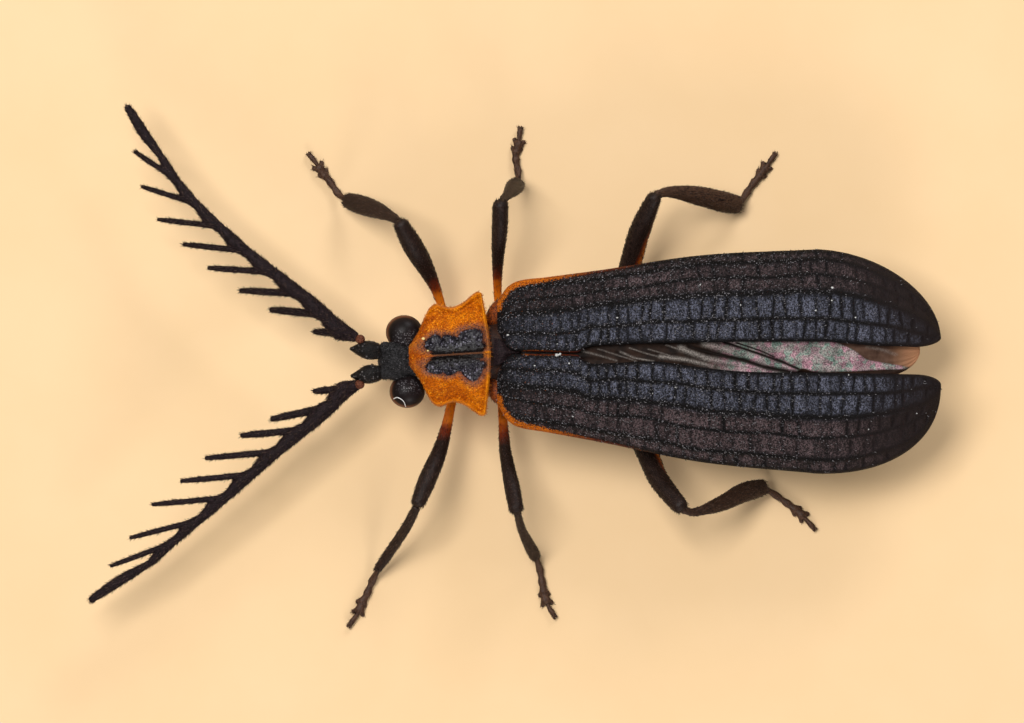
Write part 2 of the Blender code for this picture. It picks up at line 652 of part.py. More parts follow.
for old in list(bpy.data.objects):
    bpy.data.objects.remove(old)
parts = bpy.data.collections.new("net_winged_beetle")
bpy.context.scene.collection.children.link(parts)

wing_case_black = material("wing_case_black", BLACK, 0.6)
limb_black = material("limb_black", BROWN_BLACK, 0.55)
shield_orange = material("shield_orange", ORANGE, 0.45)
wing_smoke = material("wing_smoke", SMOKE, 0.3)
eye_brown = material("eye_brown", EYE_BROWN, 0.15)

dress(make_pronotum(), shield_orange)
dress(make_head(), limb_black)
dress(make_thorax(), limb_black)
dress(make_abdomen(), limb_black)
for side, sign in SIDES:
    dress(make_eye(side, sign), eye_brown)
    dress(make_antenna(side, sign), limb_black)
    dress(make_elytron(side, sign), wing_case_black)
    dress(make_hindwing(side, sign), wing_smoke)
for leg in LEGS:
    for piece in make_leg(leg):
        dress(piece, limb_black)
to_metres()
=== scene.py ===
import math
import bpy
import bmesh
import numpy as np
from mathutils import Matrix, Vector
from mathutils.kdtree import KDTree


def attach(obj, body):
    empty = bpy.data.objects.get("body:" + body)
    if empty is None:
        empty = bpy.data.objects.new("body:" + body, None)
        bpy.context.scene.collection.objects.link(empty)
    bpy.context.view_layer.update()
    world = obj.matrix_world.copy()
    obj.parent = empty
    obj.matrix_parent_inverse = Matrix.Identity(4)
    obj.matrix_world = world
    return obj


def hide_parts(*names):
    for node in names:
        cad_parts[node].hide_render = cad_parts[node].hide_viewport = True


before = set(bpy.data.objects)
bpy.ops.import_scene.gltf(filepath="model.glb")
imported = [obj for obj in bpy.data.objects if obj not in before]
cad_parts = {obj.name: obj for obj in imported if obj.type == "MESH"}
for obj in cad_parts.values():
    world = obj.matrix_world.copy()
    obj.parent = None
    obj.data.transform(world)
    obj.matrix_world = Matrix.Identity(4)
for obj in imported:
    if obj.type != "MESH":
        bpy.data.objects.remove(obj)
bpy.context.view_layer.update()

# A net-winged beetle: everything is modelled in millimetres and scaled to metres when a piece is finished.
# Head towards -X, the beetle's right side towards +Y, floor at 0.
metres = 0.001
chance = np.random.default_rng(11)
sides = (("right", 1), ("left", -1))
print("frame loaded:", len(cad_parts), "nodes")


def curveAt(pairs, places):
    # smooth curve through (place, value) pairs
    px, pv = np.array(pairs, float).T
    last = len(px) - 1
    before = np.maximum(np.arange(last + 1) - 1, 0)
    after = np.minimum(np.arange(last + 1) + 1, last)
    slopes = (pv[after] - pv[before]) / (px[after] - px[before])
    x = np.clip(np.asarray(places, float), px[0], px[-1])
    i = np.clip(np.searchsorted(px, x, side="right") - 1, 0, last - 1)
    step = px[i + 1] - px[i]
    f = (x - px[i]) / step
    value = pv[i] * (1 + 2 * f) * (1 - f) ** 2 + pv[i + 1] * f * f * (3 - 2 * f)
    return value + step * f * (1 - f) * (slopes[i] * (1 - f) - slopes[i + 1] * f)


def smoothLine(points, count):
    # evenly spaced points on a smooth line
    points = np.array(points, float)
    places = np.concatenate([[0], np.cumsum(np.linalg.norm(np.diff(points, axis=0), axis=1))])
    steps = np.linspace(0, places[-1], count)
    return np.stack([curveAt(np.stack([places, axis], 1), steps) for axis in points.T], 1)


def spread(values, count):
    # a few values spread smoothly over evenly spaced places
    values = np.array(values, float)
    return curveAt(np.stack([np.linspace(0, 1, len(values)), values], 1), np.linspace(0, 1, count))


def bell(value):
    return np.exp(-np.square(value))


def ease(value):
    value = np.clip(value, 0, 1)
    return value * value * (3 - 2 * value)


def unit(vectors):
    return vectors / np.maximum(np.linalg.norm(vectors, axis=-1, keepdims=True), 1e-9)


def middleAt(x):
    return 0.32 - 0.022 * x  # the body's middle line, a little askew


def waves(seed, size):
    # smooth random wander of unit height, for any array of places
    own = np.random.default_rng(seed)
    turns, starts = own.uniform(0.6, 1.8, 6) / size, own.uniform(0, 2 * math.pi, 6)

    def wander(places):
        return sum(np.sin(places * turn * 2 * math.pi + start) for turn, start in zip(turns, starts)) / 3
    return wander


def sheetPart(grid, lie, flip=False, **extra):
    # a sheet of quads over a grid of points (rows, columns, 3)
    rows, columns = grid.shape[:2]
    index = np.arange(rows * columns).reshape(rows, columns)
    quads = np.stack([index[:-1, :-1], index[:-1, 1:], index[1:, 1:], index[1:, :-1]], -1).reshape(-1, 4)
    u, v = np.meshgrid(np.linspace(0, 1, rows), np.linspace(0, 1, columns), indexing="ij")
    uv = np.stack([u, v], -1).reshape(-1, 2)[quads]
    part = {"points": grid.reshape(-1, 3), "faces": quads.tolist(), "uv": uv.reshape(-1, 2).tolist()}
    part["lie"] = np.broadcast_to(lie, grid.shape).reshape(-1, 3)
    for key, values in extra.items():
        part[key] = np.broadcast_to(values, grid.shape[:2]).reshape(-1)
    return part


def sweepPart(points, wide, high, around=18, caps=4, roundness=1.0, toneFrom=0.0, toneTo=0.0, cover=1.0, up=(0, 0, 1)):
    # a limb of oval section with rounded ends along a line of points
    points = np.array(points, float)
    wide = np.broadcast_to(wide, len(points)).astype(float)
    high = np.broadcast_to(high, len(points)).astype(float)
    along = unit(np.gradient(points, axis=0))
    across = np.cross(np.array(up, float), along)
    for i in range(1, len(across)):
        if np.linalg.norm(across[i]) < 0.25:
            across[i] = across[i - 1]
    across = unit(across)
    lift = unit(np.cross(along, across))
    places = np.concatenate([[0], np.cumsum(np.linalg.norm(np.diff(points, axis=0), axis=1))])
    places = places / places[-1]
    turns = np.linspace(math.pi / 2, 0, caps + 1)[1:-1]
    rings = [(0, -math.sin(a), math.cos(a)) for a in turns]
    rings += [(i, 0.0, 1.0) for i in range(len(points))]
    rings += [(len(points) - 1, math.sin(a), math.cos(a)) for a in turns[::-1]]
    angles = np.linspace(0, 2 * math.pi, around, endpoint=False)
    verts, lies, tones = [], [], []
    for i, reach, factor in rings:
        centre = points[i] + along[i] * reach * roundness * min(wide[i], high[i])
        oval = np.cos(angles)[:, None] * across[i] * wide[i] + np.sin(angles)[:, None] * lift[i] * high[i]
        verts.append(centre + oval * factor)
        lies.append(np.broadcast_to(along[i], (around, 3)))
        tones.append(np.full(around, toneFrom + (toneTo - toneFrom) * places[i]))
    first = points[0] - along[0] * roundness * min(wide[0], high[0])
    last = points[-1] + along[-1] * roundness * min(wide[-1], high[-1])
    verts = np.concatenate(verts + [first[None], last[None]])
    lies = np.concatenate(lies + [along[:1], along[-1:]])
    tones = np.concatenate(tones + [[toneFrom], [toneTo]])
    faces, uv = [], []
    count = len(rings)
    for k in range(count - 1):
        for j in range(around):
            nxt = (j + 1) % around
            faces.append((k * around + j, k * around + nxt, (k + 1) * around + nxt, (k + 1) * around + j))
            uv += [(k / count, j / around), (k / count, (j + 1) / around)]
            uv += [((k + 1) / count, (j + 1) / around), ((k + 1) / count, j / around)]
    for pole, ring, place in ((count * around, 0, 0.0), (count * around + 1, count - 1, 1.0)):
        for j in range(around):
            nxt = (j + 1) % around
            faces.append((pole, ring * around + nxt, ring * around + j))
            edge = abs(place - 0.5 / count)
            uv += [(place, (j + 0.5) / around), (edge, (j + 1) / around), (edge, j / around)]
    return {"points": verts, "faces": faces, "uv": uv, "lie": lies, "tone": tones, "cover": np.full(len(verts), cover)}


def ballPart(centre, half, around=28, caps=14, tone=0.0, cover=1.0, axis=(1, 0, 0)):
    # an egg, as a short sweep that is all rounded ends
    centre, half, axis = np.array(centre, float), np.array(half, float), np.array(axis, float)
    line = np.stack([centre - axis * 0.02 * half[0], centre, centre + axis * 0.02 * half[0]])
    return sweepPart(line, half[1], half[2], around, caps, half[0] / min(half[1], half[2]), tone, tone, cover)


def joinParts(parts):
    # one part from many, each with its own patch of the unwrap
    whole = {"points": [], "faces": [], "uv": [], "lie": []}
    floats = sorted({key for part in parts for key in part} - set(whole))
    whole.update({key: [] for key in floats})
    cells = max(1, math.ceil(math.sqrt(len(parts))))
    start = 0
    for k, part in enumerate(parts):
        whole["points"].append(part["points"])
        whole["lie"].append(part["lie"])
        whole["faces"] += [[start + i for i in face] for face in part["faces"]]
        patch = np.array(part["uv"], float) * 0.96 + 0.02
        whole["uv"].append((patch + (k % cells, k // cells)) / cells)
        for key in floats:
            whole[key].append(part.get(key, np.zeros(len(part["points"]))))
        start += len(part["points"])
    for key in ("points", "lie", "uv", *floats):
        whole[key] = np.concatenate(whole[key])
    return whole


def closeSheets(whole, rows, columns):
    # walls round the edge of an upper and a lower sheet of the same grid
    index = np.arange(rows * columns).reshape(rows, columns)
    loop = np.concatenate([index[0, :-1], index[:-1, -1], index[-1, :0:-1], index[:0:-1, 0]])
    after = np.roll(loop, -1)
    whole["faces"] += np.stack([loop, after, after + rows * columns, loop + rows * columns], -1).tolist()
    whole["uv"] = np.concatenate([whole["uv"], np.full((len(loop) * 4, 2), 0.01)])
    return whole


def makeSkin(name, parts):
    # a mesh object in millimetres, with its lie of hairs, tone and unwrap
    whole = joinParts(parts)
    mesh = bpy.data.meshes.new(name)
    mesh.from_pydata(whole["points"].tolist(), [], whole["faces"])
    layer = mesh.uv_layers.new(name="skin")
    layer.data.foreach_set("uv", np.asarray(whole["uv"], np.float32).ravel())
    for key, values in whole.items():
        if key in ("points", "faces", "uv"):
            continue
        kind = "FLOAT_VECTOR" if key == "lie" else "FLOAT"
        made = mesh.attributes.new(key, kind, "POINT")
        made.data.foreach_set("vector" if key == "lie" else "value", np.asarray(values, np.float32).ravel())
    skin = bpy.data.objects.new(name, mesh)
    bpy.context.scene.collection.objects.link(skin)
    turnOut(skin)
    return skin


def turnOut(skin):
    # every closed shell of a mesh faces outwards
    bm = bmesh.new()
    bm.from_mesh(skin.data)
    bmesh.ops.recalc_face_normals(bm, faces=bm.faces)
    bm.to_mesh(skin.data)
    bm.free()


def evaluated(obj):
    depsgraph = bpy.context.evaluated_depsgraph_get()
    return bpy.data.meshes.new_from_object(obj.evaluated_get(depsgraph))


def meltSkin(name, parts, voxel, passes):
    # parts melted into one smooth skin, which keeps their lie, tone and unwrap
    whole = joinParts(parts)
    rough = makeSkin(name + "Rough", parts)
    melt = rough.modifiers.new("melt", "REMESH")
    melt.mode = "VOXEL"
    melt.voxel_size = voxel
    soft = rough.modifiers.new("soft", "SMOOTH")
    soft.factor = 0.5
    soft.iterations = passes
    mesh = evaluated(rough)
    bpy.data.objects.remove(rough)
    count = len(mesh.vertices)
    points = np.empty(count * 3)
    mesh.vertices.foreach_get("co", points)
    points = points.reshape(-1, 3)
    tree = KDTree(len(whole["points"]))
    for i, point in enumerate(whole["points"]):
        tree.insert(point, i)
    tree.balance()
    near = np.array([tree.find(point)[1] for point in points])
    spots = np.zeros((len(whole["points"]), 2))
    spots[np.concatenate([np.array(face) for face in whole["faces"]])] = whole["uv"]
    faces = [list(face.vertices) for face in mesh.polygons]
    corners = spots[near][np.concatenate([np.array(face) for face in faces])]
    part = {"points": points, "faces": faces, "uv": corners, "lie": whole["lie"][near]}
    for key in whole:
        if key not in ("points", "faces", "uv", "lie"):
            part[key] = whole[key][near]
    bpy.data.meshes.remove(mesh)
    return makeSkin(name, [part])


def finishPiece(piece, finish, slot, *nodes):
    # to metres, smooth, finished, and riding on the body
    piece.data.transform(Matrix.Scale(metres, 4))
    piece.data.shade_smooth()
    piece.data.materials.clear()
    piece.data.materials.append(finish)
    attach(piece, "root")
    if nodes:
        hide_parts(*nodes)
    return piece


def addNode(tree, kind, values=None, **settings):
    node = tree.nodes.new(kind)
    for key, value in settings.items():
        setattr(node, key, value)
    for key, value in (values or {}).items():
        if isinstance(value, bpy.types.NodeSocket):
            tree.links.new(value, node.inputs[key])
        else:
            node.inputs[key].default_value = value
    return node


def newGroup(name, inputs, outputs):
    group = bpy.data.node_groups.new(name, "ShaderNodeTree")
    for label, kind, value in inputs:
        socket = group.interface.new_socket(label, in_out="INPUT", socket_type=kind)
        if value is not None:
            socket.default_value = value
    for label, kind in outputs:
        group.interface.new_socket(label, in_out="OUTPUT", socket_type=kind)
    return group, group.nodes.new("NodeGroupInput").outputs, group.nodes.new("NodeGroupOutput").inputs


def makeGrainGroup():
    # fine granules over a softer mottle, on a place in millimetres
    inputs = (("Place", "NodeSocketVector", None), ("Grain Size", "NodeSocketFloat", 0.04),
              ("Mottle Size", "NodeSocketFloat", 0.3))
    group, given, result = newGroup("fineGrain", inputs, (("Grain", "NodeSocketFloat"), ("Mottle", "NodeSocketFloat")))
    for label, size, detail in (("Grain", "Grain Size", 3.0), ("Mottle", "Mottle Size", 4.0)):
        scale = addNode(group, "ShaderNodeMath", {0: 1.0, 1: given[size]}, operation="DIVIDE")
        noise = addNode(group, "ShaderNodeTexNoise", {"Vector": given["Place"], "Scale": scale.outputs[0], "Detail": detail,
                                                      "Roughness": 0.6})
        group.links.new(noise.outputs["Fac"], result[label])
    return group


def makeSpeckGroup():
    # small round specks, about one for each cell of the given size
    inputs = (("Place", "NodeSocketVector", None), ("Spacing", "NodeSocketFloat", 0.1), ("Size", "NodeSocketFloat", 0.2),
              ("Share", "NodeSocketFloat", 0.5))
    group, given, result = newGroup("fineSpecks", inputs, (("Mask", "NodeSocketFloat"), ("Shade", "NodeSocketFloat")))
    scale = addNode(group, "ShaderNodeMath", {0: 1.0, 1: given["Spacing"]}, operation="DIVIDE")
    cells = addNode(group, "ShaderNodeTexVoronoi", {"Vector": given["Place"], "Scale": scale.outputs[0]})
    near = addNode(group, "ShaderNodeMath", {0: cells.outputs["Distance"], 1: given["Size"]}, operation="LESS_THAN")
    pick = addNode(group, "ShaderNodeSeparateColor", {0: cells.outputs["Color"]})
    keep = addNode(group, "ShaderNodeMath", {0: pick.outputs[0], 1: given["Share"]}, operation="LESS_THAN")
    both = addNode(group, "ShaderNodeMath", {0: near.outputs[0], 1: keep.outputs[0]}, operation="MULTIPLY")
    group.links.new(both.outputs[0], result["Mask"])
    group.links.new(pick.outputs[1], result["Shade"])
    return group


grainGroup = makeGrainGroup()
speckGroup = makeSpeckGroup()


class Finish:
    # a material under way: its tree, its shader and its place in millimetres
    def __init__(self, name, roughness=0.5, specular=0.5, **uniform):
        self.material = bpy.data.materials.new(name)
        self.material.use_nodes = True
        self.tree = self.material.node_tree
        self.shader = self.tree.nodes["Principled BSDF"]
        self.shader.inputs["Roughness"].default_value = roughness
        self.shader.inputs["Specular IOR Level"].default_value = specular
        for key, value in uniform.items():
            self.shader.inputs[key.replace("_", " ")].default_value = value
        coords = addNode(self.tree, "ShaderNodeTexCoord")
        self.place = addNode(self.tree, "ShaderNodeMapping", {"Vector": coords.outputs["Object"],
                                                             "Scale": (1 / metres,) * 3}).outputs[0]

    def field(self, name):
        return addNode(self.tree, "ShaderNodeAttribute", attribute_name=name).outputs["Fac"]

    def grain(self, grain, mottle, stretch=None):
        group = addNode(self.tree, "ShaderNodeGroup", node_tree=grainGroup)
        place = self.place
        if stretch:
            place = addNode(self.tree, "ShaderNodeMapping", {"Vector": place, "Scale": stretch}).outputs[0]
        self.tree.links.new(place, group.inputs["Place"])
        group.inputs["Grain Size"].default_value = grain
        group.inputs["Mottle Size"].default_value = mottle
        return group.outputs

    def specks(self, spacing, size, share):
        group = addNode(self.tree, "ShaderNodeGroup", node_tree=speckGroup)
        self.tree.links.new(self.place, group.inputs["Place"])
        group.inputs["Spacing"].default_value = spacing
        group.inputs["Size"].default_value = size
        group.inputs["Share"].default_value = share
        return group.outputs

    def ramp(self, factor, *stops):
        node = addNode(self.tree, "ShaderNodeValToRGB", {"Fac": factor})
        bar = node.color_ramp
        while len(bar.elements) < len(stops):
            bar.elements.new(1.0)
        for element, (place, colour) in zip(bar.elements, stops):
            element.position = place
            element.color = (*colour, 1.0) if isinstance(colour, tuple) else (colour, colour, colour, 1.0)
        return node.outputs["Color"]

    def mix(self, factor, low, high, blend="MIX"):
        node = addNode(self.tree, "ShaderNodeMix", data_type="RGBA", blend_type=blend)
        for socket, value in ((node.inputs[0], factor), (node.inputs[6], low), (node.inputs[7], high)):
            if isinstance(value, bpy.types.NodeSocket):
                self.tree.links.new(value, socket)
            elif isinstance(value, tuple):
                socket.default_value = (*value, 1.0)
            else:
                socket.default_value = value
        return node.outputs[2]

    def math(self, operation, first, second=0.5, clamp=False):
        return addNode(self.tree, "ShaderNodeMath", {0: first, 1: second}, operation=operation, use_clamp=clamp).outputs[0]

    def bump(self, height, strength, distance):
        node = addNode(self.tree, "ShaderNodeBump", {"Height": height, "Strength": strength, "Distance": distance * metres})
        old = self.shader.inputs["Normal"]
        if old.is_linked:
            self.tree.links.new(old.links[0].from_socket, node.inputs["Normal"])
        self.tree.links.new(node.outputs[0], old)

    def set(self, key, value):
        self.tree.links.new(value, self.shader.inputs[key])


def makeCaseFinish():
    # wing cases: black net, bluish floors partly painted as sheen, brownish sides, orange shoulders, painted glints
    finish = Finish("wingCaseNet", roughness=0.6, specular=0.1)
    grain = finish.grain(0.034, 0.5)
    wrinkles = finish.grain(0.042, 0.4, stretch=(1.0, 0.35, 0.6))
    specks = finish.specks(0.050, 0.36, 0.34)
    # the floors' bluish grey is partly their own tone and partly a painted sheen, brightest mid-floor and fading
    # towards the walls
    pads = finish.math("MULTIPLY", finish.field("floor"), finish.ramp(grain["Grain"], (0.43, 0.08), (0.57, 1.1)))
    pads = finish.math("MULTIPLY", pads, finish.ramp(wrinkles["Grain"], (0.40, 0.32), (0.56, 1.08)))
    blue = finish.mix(finish.field("flank"), (0.116, 0.122, 0.166), (0.100, 0.069, 0.073))
    colour = finish.mix(pads, (0.0030, 0.0024, 0.0028), blue)
    # painted glints: pale-grey specks, more on the ribs and walls than on the floors
    bright = finish.ramp(specks["Shade"], (0.2, 0.15), (1.0, 1.0))
    light = finish.math("MULTIPLY", specks["Mask"], finish.math("MULTIPLY", finish.field("cover"), bright))
    colour = finish.mix(light, colour, (0.22, 0.21, 0.23))
    colour = finish.mix(finish.field("tip"), colour, (0.010, 0.006, 0.006))
    orange = finish.ramp(grain["Grain"], (0.40, (0.16, 0.023, 0.001)), (0.58, (0.55, 0.140, 0.005)))
    orange = finish.mix(finish.field("redden"), orange, (0.060, 0.008, 0.003))
    ragged = finish.math("MULTIPLY", finish.math("SUBTRACT", grain["Grain"], 0.5), 2.5)
    band = finish.ramp(finish.math("ADD", finish.field("band"), ragged), (0.42, 0.0), (0.62, 1.0))
    finish.set("Base Color", finish.mix(band, colour, orange))
    finish.set("Roughness", finish.ramp(grain["Grain"], (0.3, 0.48), (0.7, 0.75)))
    finish.bump(wrinkles["Grain"], 0.6, 0.03)
    finish.bump(grain["Grain"], 1.0, 0.03)
    return finish.material


def makeShieldFinish():
    # neck shield: granular orange, black and shiny in its pits
    finish = Finish("shieldOrange", roughness=0.42, specular=0.35)
    grain = finish.grain(0.034, 0.35)
    orange = finish.ramp(grain["Mottle"], (0.34, (0.33, 0.056, 0.0005)), (0.50, (0.53, 0.120, 0.001)), (0.68, (0.71, 0.212, 0.003)))
    fine = finish.ramp(grain["Grain"], (0.43, (0.46, 0.36, 0.3)), (0.55, (1.0, 1.0, 1.0)))
    orange = finish.mix(1.0, orange, fine, "MULTIPLY")
    # painted highlights: yellow glints on some granules of the orange
    granuleGlints = finish.specks(0.055, 0.36, 0.24)
    orange = finish.mix(finish.math("MULTIPLY", granuleGlints["Mask"], 0.55), orange, (0.88, 0.36, 0.02))
    orange = finish.mix(finish.field("redden"), orange, (0.17, 0.025, 0.006))
    orange = finish.mix(finish.field("rim"), orange, (0.72, 0.235, 0.006))
    orange = finish.mix(finish.field("pale"), orange, (0.060, 0.026, 0.016))
    fringe = finish.ramp(grain["Grain"], (0.43, (0.028, 0.012, 0.010)), (0.50, (0.15, 0.075, 0.075)), (0.57, (0.29, 0.080, 0.010)))
    colour = finish.mix(finish.field("fringe"), orange, fringe)
    ragged = finish.math("MULTIPLY", finish.math("SUBTRACT", grain["Grain"], 0.5), 2.0)
    dark = finish.ramp(finish.math("ADD", finish.field("dark"), ragged), (0.38, 0.0), (0.62, 1.0))
    glints = finish.specks(0.055, 0.42, 0.32)
    inside = finish.mix(finish.field("sheen"), (0.0035, 0.0018, 0.0015), (0.017, 0.015, 0.023))
    inside = finish.mix(finish.math("MULTIPLY", glints["Mask"], finish.field("sheen")), inside, (0.21, 0.195, 0.25))
    colour = finish.mix(dark, colour, inside)
    finish.set("Base Color", colour)
    finish.set("Specular Tint", finish.mix(finish.field("dark"), (1.0, 0.45, 0.12), (1.0, 1.0, 1.0)))
    finish.set("Roughness", finish.mix(dark, (0.45, 0.45, 0.45), (0.20, 0.20, 0.20)))
    wet = finish.grain(0.07, 0.12)
    finish.bump(finish.math("MULTIPLY", wet["Mottle"], dark), 0.6, 0.05)
    finish.bump(grain["Grain"], 0.85, 0.02)
    return finish.material


def makeLimbFinish():
    # legs: black-brown with a fine nap, orange where they leave the body
    finish = Finish("limbBlack", roughness=0.5, specular=0.2)
    grain = finish.grain(0.025, 0.4)
    dark = finish.ramp(grain["Grain"], (0.42, (0.006, 0.003, 0.002)), (0.6, (0.027, 0.012, 0.008)))
    brown = finish.ramp(grain["Grain"], (0.42, (0.030, 0.012, 0.006)), (0.6, (0.085, 0.040, 0.022)))
    dark = finish.mix(finish.field("warm"), dark, brown)
    orange = finish.ramp(grain["Mottle"], (0.3, (0.56, 0.115, 0.001)), (0.7, (0.74, 0.21, 0.006)))
    edge = finish.math("ADD", finish.field("tone"), finish.math("MULTIPLY", grain["Mottle"], 0.12))
    orange = finish.mix(finish.ramp(edge, (0.66, 0.0), (0.82, 1.0)), (0.20, 0.022, 0.001), orange)
    colour = finish.mix(finish.ramp(edge, (0.56, 0.0), (0.72, 1.0)), dark, orange)
    finish.set("Base Color", colour)
    finish.set("Roughness", finish.ramp(grain["Grain"], (0.3, 0.38), (0.7, 0.62)))
    finish.bump(grain["Grain"], 0.5, 0.015)
    return finish.material


def makeFeelerFinish():
    # feelers: matt brown-black, reddish at the ball joint
    finish = Finish("feelerBlack", roughness=0.62, specular=0.1)
    grain = finish.grain(0.025, 0.6)
    dark = finish.ramp(grain["Grain"], (0.42, (0.0035, 0.002, 0.0025)), (0.6, (0.024, 0.013, 0.015)))
    brown = finish.ramp(grain["Grain"], (0.42, (0.034, 0.009, 0.005)), (0.58, (0.15, 0.050, 0.026)))
    colour = finish.mix(finish.field("tone"), dark, brown)
    finish.set("Base Color", colour)
    finish.bump(grain["Grain"], 0.6, 0.015)
    return finish.material


def makeScapeFinish():
    # first joints of the feelers: black, unevenly shiny
    finish = Finish("scapeBlack", roughness=0.5, specular=0.13)
    grain = finish.grain(0.035, 0.2)
    glints = finish.specks(0.055, 0.40, 0.30)
    dark = finish.ramp(grain["Grain"], (0.42, (0.0010, 0.0008, 0.0008)), (0.62, (0.011, 0.008, 0.007)))
    light = finish.ramp(glints["Shade"], (0.2, (0.02, 0.018, 0.018)), (1.0, (0.12, 0.11, 0.11)))
    finish.set("Base Color", finish.mix(glints["Mask"], dark, light))
    finish.set("Roughness", finish.ramp(grain["Mottle"], (0.35, 0.28), (0.65, 0.55)))
    finish.bump(grain["Mottle"], 0.6, 0.04)
    finish.bump(grain["Grain"], 0.8, 0.025)
    return finish.material


def makeHeadFinish():
    # head: black and granular, like velvet
    finish = Finish("headVelvet", roughness=0.7, specular=0.12)
    grain = finish.grain(0.04, 0.3)
    colour = finish.ramp(grain["Grain"], (0.4, (0.003, 0.0028, 0.003)), (0.66, (0.034, 0.032, 0.034)))
    finish.set("Base Color", colour)
    finish.bump(grain["Grain"], 0.8, 0.03)
    return finish.material


def makeEyeFinish():
    # eyes: very dark brown, facetted, with a brown rim and a painted hazy reflection with painted glints on the facets
    finish = Finish("eyeGloss", roughness=0.42, specular=0.12)
    grain = finish.grain(0.05, 0.4)
    facetsAndGlints = finish.specks(0.036, 0.38, 0.7)
    colour = finish.ramp(grain["Mottle"], (0.3, (0.004, 0.0025, 0.0025)), (0.7, (0.012, 0.007, 0.007)))
    # painted glints: bright dots on the facets within the painted reflection
    light = finish.ramp(facetsAndGlints["Shade"], (0.0, (0.04, 0.036, 0.04)), (1.0, (0.24, 0.225, 0.235)))
    haze = finish.mix(facetsAndGlints["Mask"], (0.012, 0.009, 0.010), light)
    colour = finish.mix(finish.field("haze"), colour, haze)
    colour = finish.mix(finish.field("tone"), colour, (0.20, 0.060, 0.022))
    finish.set("Base Color", colour)
    finish.bump(facetsAndGlints["Mask"], 0.3, 0.004)
    return finish.material


def makeThoraxFinish():
    # thorax and abdomen: black-brown, dark orange-red at the seams
    finish = Finish("trunkBrown", roughness=0.5, specular=0.2)
    grain = finish.grain(0.03, 0.4)
    dark = finish.ramp(grain["Grain"], (0.3, (0.006, 0.004, 0.0035)), (0.75, (0.032, 0.020, 0.015)))
    red = finish.ramp(grain["Grain"], (0.40, (0.06, 0.009, 0.003)), (0.6, (0.34, 0.070, 0.006)))
    finish.set("Base Color", finish.mix(finish.field("tone"), dark, red))
    finish.bump(grain["Grain"], 0.5, 0.02)
    return finish.material


def makeWingFinish():
    # hind wings: smoky membrane, dark folds, a grey panel with grains of pink and green
    finish = Finish("wingMembrane", roughness=0.5, specular=0.07)
    grain = finish.grain(0.034, 0.3)
    hues = finish.specks(0.17, 2.0, 2.0)
    motes = finish.specks(0.055, 2.0, 2.0)
    smoke = finish.ramp(grain["Mottle"], (0.35, (0.006, 0.003, 0.002)), (0.65, (0.028, 0.014, 0.009)))
    pick = finish.math("ADD", finish.math("MULTIPLY", hues["Shade"], 0.7), finish.math("MULTIPLY", motes["Shade"], 0.3))
    hue = finish.ramp(pick, (0.12, (0.58, 0.29, 0.36)), (0.38, (0.48, 0.36, 0.37)), (0.62, (0.42, 0.37, 0.35)),
                      (0.88, (0.30, 0.43, 0.36)))
    light = finish.ramp(grain["Grain"], (0.42, (0.34, 0.34, 0.34)), (0.58, (1.0, 1.0, 1.0)))
    panel = finish.mix(1.0, hue, light, "MULTIPLY")
    panel = finish.mix(1.0, panel, finish.ramp(grain["Mottle"], (0.36, 0.45), (0.62, 1.0)), "MULTIPLY")
    colour = finish.mix(finish.field("clear"), smoke, finish.ramp(grain["Mottle"], (0.35, (0.040, 0.020, 0.013)), (0.65, (0.10, 0.055, 0.038))))
    colour = finish.mix(finish.field("glow"), colour, (0.42, 0.20, 0.10))
    colour = finish.mix(finish.field("panel"), colour, panel)
    colour = finish.mix(finish.field("streak"), colour, finish.mix(1.0, (0.34, 0.30, 0.27), light, "MULTIPLY"))
    colour = finish.mix(finish.field("vein"), colour, (0.008, 0.005, 0.004))
    finish.set("Base Color", colour)
    finish.bump(grain["Grain"], 0.7, 0.015)
    return finish.material


def makeHairFinish(name, dark, light, gloss):
    # short hairs: most dark, some painted light as glints on the hairs
    finish = Finish(name, roughness=gloss, specular=0.2)
    finish.set("Base Color", finish.ramp(finish.field("shade"), (0.0, dark), (0.72, dark), (0.9, light), (1.0, light)))
    return finish.material


def makeDustFinish(name, dark, light):
    finish = Finish(name, roughness=0.6, specular=0.4)
    grain = finish.grain(0.01, 0.03)
    finish.set("Base Color", finish.ramp(grain["Grain"], (0.3, dark), (0.7, light)))
    return finish.material


def makeFloorFinish():
    finish = Finish("floorCream", roughness=0.85, specular=0.1)
    grain = finish.grain(0.4, 5.0)
    finish.set("Base Color", finish.ramp(grain["Mottle"], (0.35, (0.735, 0.515, 0.290)), (0.65, (0.755, 0.535, 0.310))))
    return finish.material


caseFinish = makeCaseFinish()
shieldFinish = makeShieldFinish()
limbFinish = makeLimbFinish()
feelerFinish = makeFeelerFinish()
scapeFinish = makeScapeFinish()
headFinish = makeHeadFinish()
eyeFinish = makeEyeFinish()
trunkFinish = makeThoraxFinish()
wingFinish = makeWingFinish()
darkHair = makeHairFinish("hairDark", (0.007, 0.006, 0.006), (0.21, 0.20, 0.21), 0.4)
limbHair = makeHairFinish("hairBrown", (0.009, 0.004, 0.003), (0.10, 0.06, 0.045), 0.5)
goldHair = makeHairFinish("hairGold", (0.36, 0.075, 0.001), (0.75, 0.30, 0.03), 0.4)
dustFinish = makeDustFinish("paleDust", (0.40, 0.39, 0.38), (0.8, 0.8, 0.79))
speckFinish = makeDustFinish("yellowSpeck", (0.60, 0.40, 0.10), (0.85, 0.70, 0.35))
print("finishes made")


